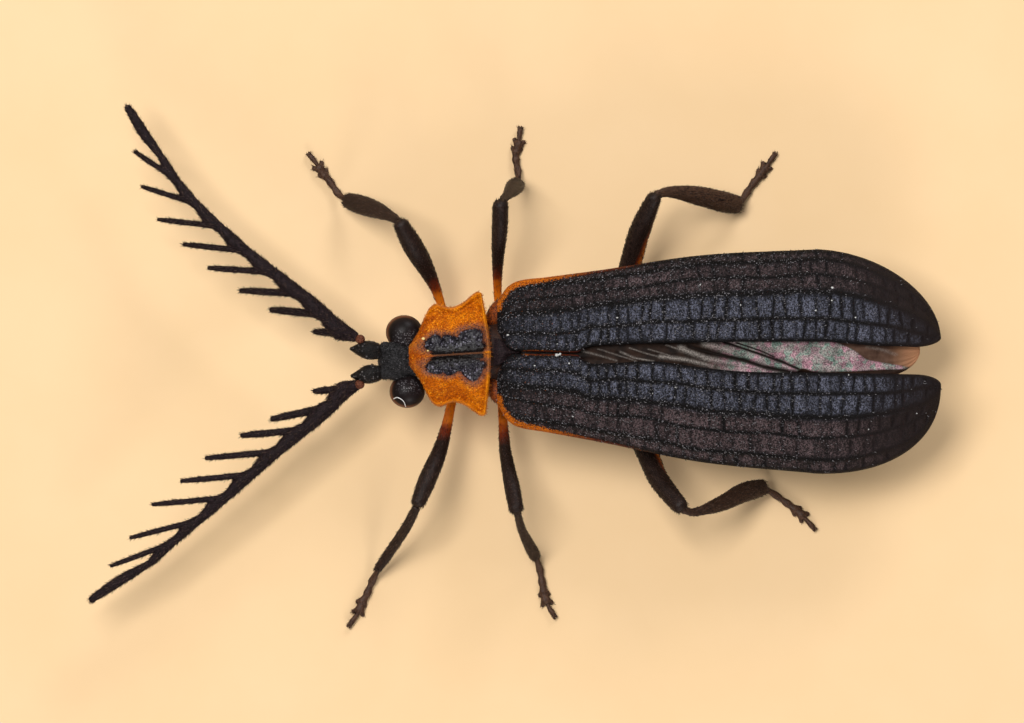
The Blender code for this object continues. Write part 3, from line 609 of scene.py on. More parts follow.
def makeBristle():
    # one bent hair of unit length along Z, three-sided
    levels = ((0.0, 0.5, 0.0), (0.45, 0.42, 0.05), (0.8, 0.26, 0.16))
    verts, faces = [], []
    for height, half, lean in levels:
        for k in range(3):
            angle = 2 * math.pi * k / 3
            verts.append((lean + half * math.cos(angle), half * math.sin(angle), height))
    verts.append((0.28, 0.0, 1.0))
    for level in range(2):
        for k in range(3):
            a, b = level * 3 + k, level * 3 + (k + 1) % 3
            faces.append((a, b, b + 3, a + 3))
    faces += [(6 + k, 6 + (k + 1) % 3, 9) for k in range(3)] + [(2, 1, 0)]
    mesh = bpy.data.meshes.new("bristle")
    mesh.from_pydata(verts, [], faces)
    patch = mesh.attributes.new("patch", "FLOAT_VECTOR", "POINT")
    patch.data.foreach_set("vector", np.array([(v[0] + 0.5, v[2], 0.0) for v in verts], np.float32).ravel())
    made = bpy.data.objects.new("bristle", mesh)
    bpy.context.scene.collection.objects.link(made)
    return made


def makeCoatTree():
    tree = bpy.data.node_groups.new("shortCoat", "GeometryNodeTree")
    face = tree.interface
    face.new_socket("Geometry", in_out="OUTPUT", socket_type="NodeSocketGeometry")
    face.new_socket("Geometry", in_out="INPUT", socket_type="NodeSocketGeometry")
    kinds = (("Bristle", "NodeSocketObject"), ("Hairs per mm2", "NodeSocketFloat"), ("Length", "NodeSocketFloat"),
             ("Thickness", "NodeSocketFloat"), ("Lean", "NodeSocketFloat"), ("Disorder", "NodeSocketFloat"),
             ("Seed", "NodeSocketInt"), ("Finish", "NodeSocketMaterial"))
    for label, kind in kinds:
        face.new_socket(label, in_out="INPUT", socket_type=kind)
    given = tree.nodes.new("NodeGroupInput").outputs

    def named(label, kind="FLOAT"):
        return addNode(tree, "GeometryNodeInputNamedAttribute", {"Name": label}, data_type=kind).outputs[0]

    def vector(operation, first, second=None, scale=None):
        node = addNode(tree, "ShaderNodeVectorMath", {0: first}, operation=operation)
        if second is not None:
            tree.links.new(second, node.inputs[1])
        if scale is not None:
            tree.links.new(scale, node.inputs["Scale"])
        return node.outputs[0]

    def number(operation, first, second=None):
        values = {0: first} if second is None else {0: first, 1: second}
        return addNode(tree, "ShaderNodeMath", values, operation=operation).outputs[0]

    def between(low, high, kind, turn):
        node = addNode(tree, "FunctionNodeRandomValue", data_type=kind)
        span = {"FLOAT": (2, 3), "FLOAT_VECTOR": (0, 1)}[kind]
        node.inputs[span[0]].default_value = low
        node.inputs[span[1]].default_value = high
        tree.links.new(number("ADD", given["Seed"], turn), node.inputs["Seed"])
        return node.outputs[1 if kind == "FLOAT" else 0]

    density = number("MULTIPLY", named("cover"), given["Hairs per mm2"])
    points = addNode(tree, "GeometryNodeDistributePointsOnFaces", {"Mesh": given["Geometry"], "Density": density,
                                                                  "Seed": given["Seed"]})
    lying = vector("SCALE", vector("NORMALIZE", named("lie", "FLOAT_VECTOR")), scale=number("COSINE", given["Lean"]))
    rising = vector("SCALE", points.outputs["Normal"], scale=number("SINE", given["Lean"]))
    loose = vector("SCALE", between((-1, -1, -1), (1, 1, 1), "FLOAT_VECTOR", 1.0), scale=given["Disorder"])
    heading = vector("ADD", vector("ADD", lying, rising), loose)
    turned = addNode(tree, "FunctionNodeAlignRotationToVector", {"Vector": heading}, axis="Z")
    length = number("MULTIPLY", given["Length"], between(0.6, 1.3, "FLOAT", 2.0))
    size = addNode(tree, "ShaderNodeCombineXYZ", {0: given["Thickness"], 1: given["Thickness"], 2: length})
    bristle = addNode(tree, "GeometryNodeObjectInfo", {"Object": given["Bristle"]})
    hairs = addNode(tree, "GeometryNodeInstanceOnPoints", {"Points": points.outputs["Points"], "Rotation": turned.outputs[0],
                                                           "Instance": bristle.outputs["Geometry"], "Scale": size.outputs[0]})
    shaded = addNode(tree, "GeometryNodeStoreNamedAttribute", {"Geometry": hairs.outputs[0], "Name": "shade",
                                                               "Value": between(0.0, 1.0, "FLOAT", 3.0)},
                     data_type="FLOAT", domain="INSTANCE")
    real = addNode(tree, "GeometryNodeRealizeInstances", {"Geometry": shaded.outputs[0]})
    small = addNode(tree, "ShaderNodeValue")
    small.outputs[0].default_value = 0.003
    spot = vector("ADD", named("skin", "FLOAT_VECTOR"), vector("SCALE", named("patch", "FLOAT_VECTOR"), scale=small.outputs[0]))
    baked = addNode(tree, "GeometryNodeStoreNamedAttribute", {"Geometry": real.outputs[0], "Name": "OFBake", "Value": spot},
                    data_type="FLOAT2", domain="CORNER")
    dressed = addNode(tree, "GeometryNodeSetMaterial", {"Geometry": baked.outputs[0], "Material": given["Finish"]})
    result = tree.nodes.new("NodeGroupOutput")
    tree.links.new(dressed.outputs[0], result.inputs[0])
    return tree


bristle = makeBristle()
coatTree = makeCoatTree()


def growCoat(name, skin, finish, slot, hairs, length, thickness=0.016, lean=0.7, disorder=0.25, seed=1):
    # hairs on a skin that is still in millimetres
    bed = bpy.data.objects.new(name + "Bed", skin.data.copy())
    bpy.context.scene.collection.objects.link(bed)
    grow = bed.modifiers.new("coat", "NODES")
    grow.node_group = coatTree
    values = {"Bristle": bristle, "Hairs per mm2": float(hairs), "Length": length, "Thickness": thickness, "Lean": lean,
              "Disorder": disorder, "Seed": seed, "Finish": finish}
    for item in coatTree.interface.items_tree:
        if item.in_out == "INPUT" and item.name in values:
            grow[item.identifier] = values[item.name]
    mesh = evaluated(bed)
    bpy.data.objects.remove(bed)
    places = np.empty(len(mesh.vertices) * 3, np.float32)
    mesh.vertices.foreach_get("co", places)
    places[2::3] = np.maximum(places[2::3], 0.001)
    mesh.vertices.foreach_set("co", places)
    for label in ("skin", "patch", "lie", "cover"):
        if label in mesh.attributes:
            mesh.attributes.remove(mesh.attributes[label])
    coat = bpy.data.objects.new(name, mesh)
    bpy.context.scene.collection.objects.link(coat)
    finishPiece(coat, finish, slot)
    print("  ", name, len(mesh.polygons), "faces")
    return coat


case = {
    "base": -0.47, "length": 11.10, "thick": 0.11,
    "inner": {
        "right": ((0.0, 0.30), (0.12, 0.15), (0.30, 0.05), (1.2, 0.03), (2.0, 0.035), (2.15, 0.12), (2.4, 0.20), (3.6, 0.285),
                  (5.45, 0.36), (6.5, 0.40), (8.3, 0.43), (9.3, 0.37), (10.4, 0.35)),
        "left": ((0.0, 0.30), (0.12, 0.15), (0.30, 0.05), (1.2, 0.03), (2.0, 0.035), (2.15, 0.15), (2.35, 0.24), (3.0, 0.205),
                 (3.95, 0.15), (4.6, 0.22), (5.45, 0.31), (6.3, 0.36), (8.3, 0.34), (10.4, 0.33)),
    },
    "outer": ((0.0, 1.38), (0.22, 1.66), (0.55, 1.83), (1.2, 1.93), (2.6, 2.15), (5.1, 2.58), (8.0, 2.80)),
    "roundFrom": 8.0, "innerRoundFrom": 10.4, "tip": 0.60, "roundness": {"right": 1.86, "left": 2.2},
    "top": ((0.0, 2.88), (1.5, 3.18), (4.5, 3.36), (8.0, 3.24), (10.0, 2.88), (11.1, 2.5)),
    "edge": ((0.0, 2.56), (1.5, 2.46), (5.0, 2.42), (8.0, 2.34), (10.0, 2.26), (11.1, 2.22)),
    "arch": 2.2, "spread": {"right": 0.98, "left": 1.025}, "paintedLightOnFlank": {"right": 0.0, "left": 0.4},
    "ribs": {"right": (0.25, 0.54, 0.72, 0.89), "left": (0.21, 0.44, 0.64, 0.86)},
    "ribHeights": (0.045, 0.08, 0.045, 0.07), "ribWidths": (0.080, 0.125, 0.060, 0.085),
    "bead": 0.05, "beadWidth": 0.07, "crossWidth": 0.048,
    "pitch": ((0.0, 0.20), (2.0, 0.25), (4.5, 0.31), (11.0, 0.29)), "dome": 0.05,
    "rows": (400, 170), "columns": 112,
}


def rounding(side, share):
    power = case["roundness"][side]
    return (1 - np.minimum(share, 1.0) ** power) ** (1 / power)


def caseEdges(side, s):
    # inner and outer edge from the middle line
    inner, outer = curveAt(case["inner"][side], s), curveAt(case["outer"], s)
    tip, length = case["tip"], case["length"]
    share = np.clip((s - case["roundFrom"]) / (length - case["roundFrom"]), 0, 1)
    outer = np.where(s > case["roundFrom"], tip + (outer - tip) * rounding(side, share), outer)
    share = np.clip((s - case["innerRoundFrom"]) / (length - case["innerRoundFrom"]), 0, 1)
    inner = np.where(s > case["innerRoundFrom"], tip + (inner - tip) * rounding(side, share), inner)
    return inner, outer * case["spread"][side]


def caseHeight(s, t):
    top, edge = curveAt(case["top"], s), curveAt(case["edge"], s)
    return edge + (top - edge) * (1 - np.clip(t, 0, 1) ** case["arch"])


def netRelief(side, s, t, width):
    # ribs lengthwise, cross walls between them: height and the mask of the floors
    own = np.random.default_rng(31 if side == "right" else 47)
    ribShares = (0.0, *case["ribs"][side], 1.0)
    height, wall, shade = np.zeros_like(t), np.zeros_like(t), np.ones_like(t)
    plain = ease((s - 0.3) / 2.4)  # the net is fainter near the base
    lines = []
    for k, share in enumerate(ribShares):
        drift = waves(100 + k, 2.6)(s) * 0.009 if 0 < k < 5 else 0.0
        lines.append(share + drift + np.zeros_like(s))
    for k in range(1, 5):
        high, wide = case["ribHeights"][k - 1], case["ribWidths"][k - 1]
        rib = bell((t - lines[k]) * width / (wide * (1 + 0.25 * waves(200 + k, 0.5)(s))))
        height = np.maximum(height, rib * high)
        wall = np.maximum(wall, rib)
    for k in range(5):
        inside = (t - lines[k]) / (lines[k + 1] - lines[k])
        within = (inside > 0) & (inside < 1)
        place, before = 0.10, 0.0
        faint = 0.8 if k < 2 else 0.45
        while place < case["length"]:
            tilt, bend = own.normal(0, 0.05), own.normal(0, 0.06)
            wide = case["crossWidth"] * own.uniform(0.7, 1.4)
            strength = own.uniform(faint, 1.0) if own.random() < 0.88 else own.uniform(0.3, 0.6)
            near = np.abs(s[:, 0] - place) < 0.4
            d = s[near] - place - tilt * (inside[near] - 0.5) - bend * ((inside[near] - 0.5) ** 2 - 0.25)
            wall[near] = np.maximum(wall[near], bell(d / wide) * strength * within[near] * (0.5 + 0.5 * plain[near]))
            between = (s[:, 0] > before) & (s[:, 0] <= place)
            shade[between] = np.where(within[between], own.uniform(0.6 if k < 2 else 0.4, 1.1), shade[between])
            before = place
            place += float(curveAt(case["pitch"], place)) * (1.0 if k < 2 else 1.1) * own.uniform(0.7, 1.3)
    height = height * (0.7 + 0.3 * plain)
    floor = 1.0 - np.clip(wall * 1.1, 0, 1)
    dome = case["dome"] * floor * (0.3 + 0.7 * plain)
    return height + dome, floor, shade * (0.42 + 0.58 * plain)


def makeCase(side, sign):
    straight, tipRows = case["rows"]
    length, start = case["length"], case["roundFrom"]
    s = np.concatenate([np.linspace(0, start, straight, endpoint=False),
                        start + (length - start) * np.sin(np.linspace(0, 1, tipRows) * math.asin(0.9985))])
    t = np.linspace(0, 1, case["columns"])
    s, t = np.meshgrid(s, t, indexing="ij")
    inner, outer = caseEdges(side, s)
    width = outer - inner
    x = case["base"] + s + (0.13 * bell(t / 0.15) + 0.05 * bell((1 - t) / 0.08)) * bell(s / 0.35)
    y = middleAt(x) + sign * (inner + width * t)
    z = caseHeight(s, t)
    relief, floor, shade = netRelief(side, s, t, width)
    front = t[0] > 0.78
    outline = np.concatenate([np.stack([x[0, front], y[0, front]], 1), np.stack([x[:320:2, -1], y[:320:2, -1]], 1)])
    rim = np.minimum((1 - t), t) * width
    toEnd = length - s
    calm = ease(np.minimum(rim / 0.10, np.minimum(s / 0.5, toEnd / 0.45)))
    bead = case["bead"] * bell((rim - 0.05) / case["beadWidth"]) * ease(s / 0.3 + 0.3)
    z = z + np.maximum(relief * calm, bead * (1 - 0.2 * floor)) - 0.05 * bell(rim / 0.03)
    z = z - 0.10 * bell(s / 0.12)
    grid = np.stack([x, y, z], -1)
    toMargin = np.full(s.shape, 9.0)
    early = s[:, 0] < 4.5
    gaps = np.hypot(x[early][..., None] - outline[:, 0], y[early][..., None] - outline[:, 1])
    toMargin[early] = gaps.min(-1)
    bandWidth = curveAt(((0.0, 0.11), (0.5, 0.15), (1.1, 0.12), (1.8, 0.08), (3.0, 0.05), (4.5, 0.03)), s)
    band = ease((bandWidth - toMargin) / 0.14 + 0.5) * ease((4.4 - s) / 1.5)
    redden = ease((s - 0.9) / 1.8) * 0.92 + ease((toMargin / np.maximum(bandWidth, 0.01)) - 0.55) * 0.4
    seam = ease((0.045 - t * width) / 0.03) * ease((s - 0.5) / 0.3) * ease((2.3 - s) / 0.4)
    band, redden = np.maximum(band, seam), np.maximum(redden, seam)
    ribB = case["ribs"][side][1]
    flank = ease((t - ribB) / 0.06)
    tip = np.maximum(ease((s - 8.0 - 0.8 * (1 - t)) / 2.3), flank * ease((s - 7.8) / 2.4)) * 0.9
    cover = (0.3 + 0.7 * (1 - floor)) * (1 - 0.9 * tip) * (1 - 0.8 * band) * ease(rim / 0.05) * (1 - 0.8 * ease((s - 5.5) / 4.0))
    lie = unit(np.stack([np.ones_like(s), np.full_like(s, sign * 0.15), np.zeros_like(s)], -1))
    # painted light: the flank floors of the left case are painted paler, standing in for stronger light on that side
    shade = shade * (1 + case["paintedLightOnFlank"][side] * flank)
    fields = {"floor": floor * calm * shade * ease((rim - 0.03) / 0.14), "band": band, "redden": np.clip(redden, 0, 1), "flank": flank, "tip": tip}
    upper = sheetPart(grid, lie, cover=cover, **fields)
    few = np.linspace(0, case["columns"] - 1, 9).astype(int)
    low = grid[:, few].copy()
    low[..., 2] = caseHeight(s, t)[:, few] - case["thick"]
    lower = sheetPart(low, lie[:, few])
    whole = joinParts([upper, lower])
    rows, columns = s.shape
    base = rows * columns
    faces, corners = [], []
    edges = (([i * columns for i in range(rows)], [base + i * 9 for i in range(rows)]),
             ([i * columns + columns - 1 for i in range(rows)], [base + i * 9 + 8 for i in range(rows)]))
    for high, under in edges:
        for i in range(rows - 1):
            faces.append([high[i], high[i + 1], under[i + 1], under[i]])
            corners += [(0.5, 0.99)] * 4
    for i in (0, rows - 1):
        loop = [i * columns + k for k in range(columns)] + [base + i * 9 + k for k in range(8, -1, -1)]
        faces.append(loop)
        corners += [(0.5, 0.99)] * len(loop)
    whole["faces"] += faces
    whole["uv"] = np.concatenate([whole["uv"], np.array(corners)])
    return makeSkin("wingCase_" + side, [whole])


for side, sign in sides:
    skin = makeCase(side, sign)
    growCoat("caseHairs_" + side, skin, darkHair, "wing_case", 520, 0.046, 0.018, 0.8, 0.45, 5 + sign)
    finishPiece(skin, caseFinish, "wing_case", "elytron_" + side)
print("wing cases made")


shield = {
    "front": (-2.675, 0.22), "yaw": 2.0, "length": 2.05, "bay": 0.18, "arch": 0.42,
    "half": ((0.0, 0.24), (0.25, 0.60), (0.40, 0.93), (0.56, 1.20), (0.73, 1.28), (1.10, 1.19), (1.40, 1.28),
             (1.86, 1.55), (2.05, 1.52)),
    "top": ((0.0, 2.72), (0.3, 2.88), (0.7, 2.90), (1.6, 2.92), (2.05, 2.90)),
    "pits": ((-2.03, 0.53, 0.25, 0.22), (-1.66, 0.55, 0.24, 0.22), (-1.12, 0.64, 0.31, 0.29), (-1.55, 0.48, 0.74, 0.22),
             (-2.02, -0.04, 0.23, 0.20), (-1.64, -0.06, 0.24, 0.19), (-1.10, -0.11, 0.29, 0.27), (-1.50, 0.02, 0.72, 0.20)),
    "depth": 0.13, "bumps": 0.05, "keelWidth": 0.030, "specks": ((-2.315, 0.66, 0.042), (-2.20, 0.36, 0.026)),
    "rows": 190, "columns": 200, "lip": 0.16,
}


def makeShield():
    along = np.linspace(0, shield["length"], shield["rows"])
    u = np.sin(np.linspace(-1, 1, shield["columns"]) * math.pi / 2 * 0.96) / math.sin(math.pi / 2 * 0.96)
    a, u = np.meshgrid(along, u, indexing="ij")
    half = curveAt(shield["half"], a)
    back = a / shield["length"]
    lx = a - shield["bay"] * back ** 4 * np.abs(u) ** 1.5
    ly = u * half
    turn = math.radians(shield["yaw"])
    x = shield["front"][0] + lx * math.cos(turn) - ly * math.sin(turn)
    y = shield["front"][1] + lx * math.sin(turn) + ly * math.cos(turn)
    z = curveAt(shield["top"], a) - shield["arch"] * np.abs(u) ** 2.5
    rim = (1 - np.abs(u)) * half
    hind = (shield["length"] - a)
    z += 0.06 * bell((rim - 0.05) / 0.07) + 0.07 * bell((hind - 0.06) / 0.07)
    z -= 0.07 * bell((rim - 0.24) / 0.12) * ease((a - 0.4) / 0.3)
    z -= 0.05 * bell((hind - 0.24) / 0.10)
    pit = np.zeros_like(x)
    wall = np.zeros_like(x)
    for px, py, hx, hy in shield["pits"]:
        wob = 1 + 0.10 * np.sin(3 * np.arctan2(y - py, x - px) + px * 9)
        r = np.hypot((x - px) / hx, (y - py) / hy) * wob
        pit = np.maximum(pit, ease((1.35 - r) / 0.75))
        wall = np.maximum(wall, bell((r - 1.16) / 0.36))
    ridgeLine = 0.229 + (x + 2.11) * 0.067
    keel = bell((y - ridgeLine) / shield["keelWidth"]) * ease((x + 2.25) / 0.2) * ease((-0.5 - x) / 0.15)
    pit = np.clip(pit * (1 - keel), 0, 1)
    z -= shield["depth"] * pit
    z += 0.09 * bell((y - ridgeLine) / 0.06) * ease((x + 2.3) / 0.3)
    tx = waves(7, 0.35)(x * 1.3 + y) * 0.012 + waves(8, 0.22)(y * 1.6 - x) * 0.010
    grains = waves(27, 0.10)(x + 0.7 * y) * waves(28, 0.11)(y - 0.6 * x) * 0.014
    z += (tx + grains) * (1 - pit)
    z += shield["bumps"] * pit * (waves(17, 0.24)(x + 0.3 * y) * waves(18, 0.26)(y - 0.2 * x))
    edgeFall = bell(rim / 0.035) + bell(hind / 0.04) + bell(a / 0.05)
    z -= 0.06 * np.clip(edgeFall, 0, 1)
    dark = ease((pit - 0.10) / 0.75)
    toKeel = np.abs(y - ridgeLine)
    beside = ease((toKeel - 0.012) / 0.02) * ease((0.18 - toKeel) / 0.06) * ease((x + 2.22) / 0.2) * ease((-0.76 - x) / 0.10)
    dark = np.maximum(dark, beside)
    fringe = np.clip(wall, 0, 1) * (1 - 0.7 * dark) * (1 - keel) * 0.9
    redden = np.maximum(bell(np.hypot((x + 2.33) / 0.10, (y - 0.40) / 0.09)), bell(np.hypot((x + 2.33) / 0.12, (y - 0.06) / 0.10)))
    redden = np.maximum(redden * 0.7, 0.5 * ease((pit - 0.08) / 0.3))
    bright = np.maximum(0.7 * bell((hind - 0.05) / 0.045), 0.35 * bell((rim - 0.05) / 0.04) * ease((a - 0.3) / 0.3))
    pale = bell((y - ridgeLine) / 0.06) * ease((x + 2.15) / 0.15) * ease((-0.72 - x) / 0.15)
    sheen = ease((toKeel - 0.10) / 0.20) * np.clip(0.65 + 0.6 * waves(33, 0.34)(x) * waves(34, 0.30)(y), 0.1, 1)
    grid = np.stack([x, y, z], -1)
    lie = unit(np.stack([np.full_like(x, 0.9), np.sign(u) * 0.4, np.zeros_like(x)], -1))
    cover = ((1 - dark) * ease(rim / 0.04) * 0.8 + 0.6 * bell((rim - 0.02) / 0.05)) * (1 - pale) * (1 - 0.75 * fringe)
    top = sheetPart(grid, lie, dark=dark, fringe=fringe, redden=redden, pale=pale, rim=bright, sheen=sheen,
                    cover=np.clip(cover, 0, 1))
    low = grid.copy()
    smooth = curveAt(shield["top"], a) - shield["arch"] * np.abs(u) ** 2.5
    low[..., 2] = smooth - 0.30
    bottom = sheetPart(low, lie)
    whole = closeSheets(joinParts([top, bottom]), *a.shape)
    ring = sweepPart([(-2.28, 0.25, 1.95), (-2.0, 0.26, 1.93), (-1.5, 0.28, 1.92), (-1.1, 0.30, 1.95), (-0.92, 0.3, 2.0)],
                     (0.62, 0.88, 0.95, 0.95, 0.84), (0.50, 0.62, 0.66, 0.62, 0.5), 40, 6, 0.5)
    ring["redden"] = np.full(len(ring["points"]), 0.55)
    return makeSkin("neckShield", [whole, ring])


skin = makeShield()
growCoat("shieldHairs", skin, goldHair, "shield", 200, 0.05, 0.010, 0.7, 0.45, 9)
finishPiece(skin, shieldFinish, "shield", "pronotum")
parts = [ballPart((x, y, 2.915), (half, half * 0.8, half * 0.8), 9, 6) for x, y, half in shield["specks"]]
finishPiece(makeSkin("specksOnShield", parts), speckFinish, "shield")
print("neck shield made")


head = {
    "middle": (-2.95, 0.10, 1.93), "half": (0.50, 0.50, 0.47), "brow": (-3.22, 0.44, 0.20), "browLeft": (-3.22, -0.235, 0.20),
    "muzzle": (-3.16, 0.10, 1.50), "muzzleHalf": (0.30, 0.28, 0.34),
}
eyes = {"right": (-2.80, 0.825, 1.95, 0.45), "left": (-2.725, -0.66, 1.95, 0.435), "shape": (1.02, 0.93, 0.95)}


def makeHead():
    parts = [ballPart(head["middle"], head["half"], 40, 20), ballPart((-2.55, 0.14, 1.92), (0.45, 0.46, 0.44), 36, 16)]
    for sign in (1, -1):
        parts.append(ballPart((-3.20, 0.11 + 0.28 * sign, 2.12), (0.22, 0.17, 0.17), 24, 12))
        parts.append(ballPart((-3.02, 0.11 + 0.33 * sign, 2.10), (0.28, 0.16, 0.20), 24, 12))
        parts.append(ballPart((-3.27, 0.11 + 0.34 * sign, 2.10), (0.15, 0.14, 0.15), 24, 12))
    parts.append(ballPart((-3.05, 0.11, 2.28), (0.22, 0.12, 0.10), 24, 12))
    parts.append(ballPart(head["muzzle"], head["muzzleHalf"], 30, 14))
    for sign in (1, -1):
        jaw = smoothLine([(-3.30, 0.10 + 0.20 * sign, 1.36), (-3.50, 0.10 + 0.20 * sign, 1.28), (-3.62, 0.10 + 0.08 * sign, 1.24)], 8)
        parts.append(sweepPart(jaw, spread((0.08, 0.07, 0.03), 8), spread((0.06, 0.05, 0.025), 8), 14, 4))
        palp = smoothLine([(-3.22, 0.10 + 0.16 * sign, 1.35), (-3.44, 0.10 + 0.26 * sign, 1.17), (-3.62, 0.10 + 0.29 * sign, 1.14),
                           (-3.72, 0.10 + 0.29 * sign, 1.13)], 12)
        parts.append(sweepPart(palp, spread((0.07, 0.075, 0.06, 0.10, 0.08), 12), spread((0.07, 0.075, 0.06, 0.09, 0.06), 12), 14, 4))
    return meltSkin("headCapsule", parts, 0.018, 3)


skin = makeHead()
growCoat("headHairs", skin, darkHair, "black_shell", 170, 0.042, 0.012, 0.9, 0.5, 21)
finishPiece(skin, headFinish, "black_shell", "head")
for side, sign in sides:
    x, y, z, r = eyes[side]
    wide, deep, tall = (r * share for share in eyes["shape"])
    ball = ballPart((x, y, z), (deep, wide, tall), 96, 48, axis=(0, sign, 0))
    outward, height = (ball["points"][:, 1] - y) * sign / r, (ball["points"][:, 2] - z) / r
    ahead = (x - ball["points"][:, 0]) / r
    ball["tone"] = ease((0.58 - height) / 0.25) * ease((height - 0.12) / 0.2) * ease((ahead + outward + 0.1) / 0.9) * 0.6
    # painted reflection: a hazy light patch on the upper, inner part of each eye
    ball["haze"] = ease((height - 0.40) / 0.3) * ease((0.30 - outward) / 0.7) * ease((0.75 - ahead) / 0.5)
    piece = makeSkin("eye_of_" + side, [ball])
    finishPiece(piece, eyeFinish, "eye", "eye_" + side)
x, y, z, r = eyes["left"]
fibre = smoothLine([(x - 0.335, y - 0.185, 0), (x - 0.26, y - 0.15, 0), (x - 0.16, y - 0.185, 0), (x - 0.08, y - 0.26, 0),
                    (x - 0.035, y - 0.38, 0)], 24)
fibre[:, 2] = z + np.sqrt(np.maximum((r + 0.012) ** 2 - (fibre[:, 0] - x) ** 2 - (fibre[:, 1] - y) ** 2, 0))
finishPiece(makeSkin("fibreOnEye", [sweepPart(fibre, 0.011, 0.011, 8, 3)]), dustFinish, "eye")
print("head made")


feeler = {
    "joints": {
        "right": ((355.5, 336.9), (329, 318), (304.5, 297), (277, 275.5), (250, 254.5), (222.5, 230), (198.3, 207),
                  (177.5, 182.5), (161.5, 157.5), (126.5, 105.9)),
        "left": ((357.6, 385.7), (335, 404), (308.5, 427.5), (281.5, 449), (255.5, 472), (229.5, 495.5), (203, 518),
                 (176.5, 540.5), (150.4, 564.3), (90.2, 602)),
    },
    "shift": {"right": (0.0, 0.0), "left": (-0.01, 0.03)},
    "heights": ((0.0, 2.06), (1.5, 2.1), (3.5, 2.1), (6.0, 1.9), (8.5, 1.6)),
    "rays": {"right": (1.02, 1.46, 1.59, 1.71, 1.66, 1.63, 1.50, 1.32), "left": (1.08, 1.59, 1.66, 1.88, 1.85, 1.92, 1.86, 1.74)},
    "headings": {"right": (3.4, 5.5, 3.2, 4.1, 6.0, 6.9, 17.5, 33.6), "left": (5.5, 12.1, 5.3, 5.4, 5.4, 5.3, 14.4, 20.6)},
    "droop": {"right": 0.4, "left": 0.12}, "bow": 1.0,
    "halfWidths": ((0.13, 0.235, 0.19), (0.165, 0.215, 0.17), (0.145, 0.195, 0.15), (0.135, 0.18, 0.135), (0.125, 0.17, 0.13),
                   (0.115, 0.16, 0.115), (0.105, 0.145, 0.105), (0.10, 0.135, 0.095), (0.08, 0.115, 0.085)),
    "end": (0.08, 0.105, 0.125, 0.13, 0.115, 0.085), "ray": (0.088, 0.080, 0.076, 0.075, 0.072, 0.052),
    "rayScale": (1.25, 1.3, 1.18, 1.05, 1.0, 0.95, 0.92, 0.9), "trim": 0.08,
}
scape = {
    "right": ((-3.36, 0.32, 2.04), (-3.52, 0.35, 2.09), (-3.68, 0.375, 2.11), (-3.88, 0.39, 2.10), (-4.12, 0.41, 2.06)),
    "left": ((-3.36, -0.18, 2.04), (-3.52, -0.21, 2.09), (-3.68, -0.23, 2.11), (-3.88, -0.26, 2.10), (-4.10, -0.27, 2.06)),
    "half": (0.16, 0.22, 0.235, 0.16, 0.05),
    "ball": {"right": (-3.90, 0.645, 2.13), "left": (-3.91, -0.48, 2.13)}, "ballHalf": 0.12,
}


def toBody(px, py):
    # from the picture's grid to the body's: 0.025 mm a step
    return (px - 516) * 0.025, (365 - py) * 0.025


def makeFeeler(side, sign):
    flat = np.array([toBody(px, py) for px, py in feeler["joints"][side]]) + feeler["shift"][side]
    run = np.concatenate([[0], np.cumsum(np.linalg.norm(np.diff(flat, axis=0), axis=1))])
    joints = np.column_stack([flat, curveAt(feeler["heights"], run)])
    parts = []
    for i, (base, belly, end) in enumerate(feeler["halfWidths"]):
        a, b = joints[i], joints[i + 1]
        along = unit(b - a)
        out = unit(np.array((along[1], -along[0], 0.0)) * sign)
        steps = np.linspace(0, 1, 9)[:, None]
        wide = spread((base, (base + belly) / 2, belly, (belly + end) / 2, end), 9)
        line = a + (b - a) * steps - out * (wide - min(base, end))[:, None] * feeler["bow"]
        last = i == len(feeler["halfWidths"]) - 1
        if last:
            wide = spread(feeler["end"], 9)
        parts.append(sweepPart(line, wide, wide * 0.8, 16, 3, 0.6))
        if not last:
            reach = feeler["rays"][side][i] - feeler["trim"]
            turn = math.radians(feeler["headings"][side][i])
            ahead = np.array((-math.cos(turn), sign * math.sin(turn), 0.0))
            root = a + (b - a) * 0.16
            share = np.linspace(0, 1, 10)[:, None]
            sagging = feeler["droop"][side] * reach * share ** 2
            line = root + ahead * reach * share * np.array((1, 1, 0)) - np.array((0, 0, 1)) * sagging
            thick = spread(feeler["ray"], 10) * feeler["rayScale"][i]
            parts.append(sweepPart(line, thick, thick * 0.8, 12, 3, 0.7))
            web = smoothLine([a + (b - a) * 0.28, root + ahead * 0.16 + (b - a) * 0.12, root + ahead * 0.32 + (b - a) * 0.03,
                              root + ahead * 0.5], 8)
            parts.append(sweepPart(web, spread((0.11, 0.095, 0.07, 0.05), 8), spread((0.09, 0.08, 0.06, 0.05), 8), 12, 3, 0.6))
    root = np.array(scape["ball"][side])
    parts.append(sweepPart(smoothLine([root, joints[0], joints[0] + (joints[1] - joints[0]) * 0.12], 5), 0.075, 0.075, 14, 4))
    return meltSkin("feeler_" + side, parts, 0.02, 2)


for side, sign in sides:
    skin = makeFeeler(side, sign)
    growCoat("feelerHairs_" + side, skin, limbHair, "black_shell", 480, 0.075, 0.012, 0.5, 0.35, 30 + sign)
    finishPiece(skin, feelerFinish, "black_shell", "antenna_" + side)
    line = smoothLine(scape[side], 16)
    parts = [sweepPart(line, spread(scape["half"], 16), spread(scape["half"], 16) * 0.9, 28, 6)]
    piece = makeSkin("scape_" + side, parts)
    growCoat("scapeHairs_" + side, piece, limbHair, "black_shell", 120, 0.045, 0.011, 0.5, 0.3, 50 + sign)
    finishPiece(piece, scapeFinish, "black_shell")
    ball = ballPart(scape["ball"][side], (scape["ballHalf"],) * 3, 24, 12, tone=1.0)
    piece = makeSkin("ballJoint_" + side, [ball])
    finishPiece(piece, feelerFinish, "black_shell")
print("feelers made")


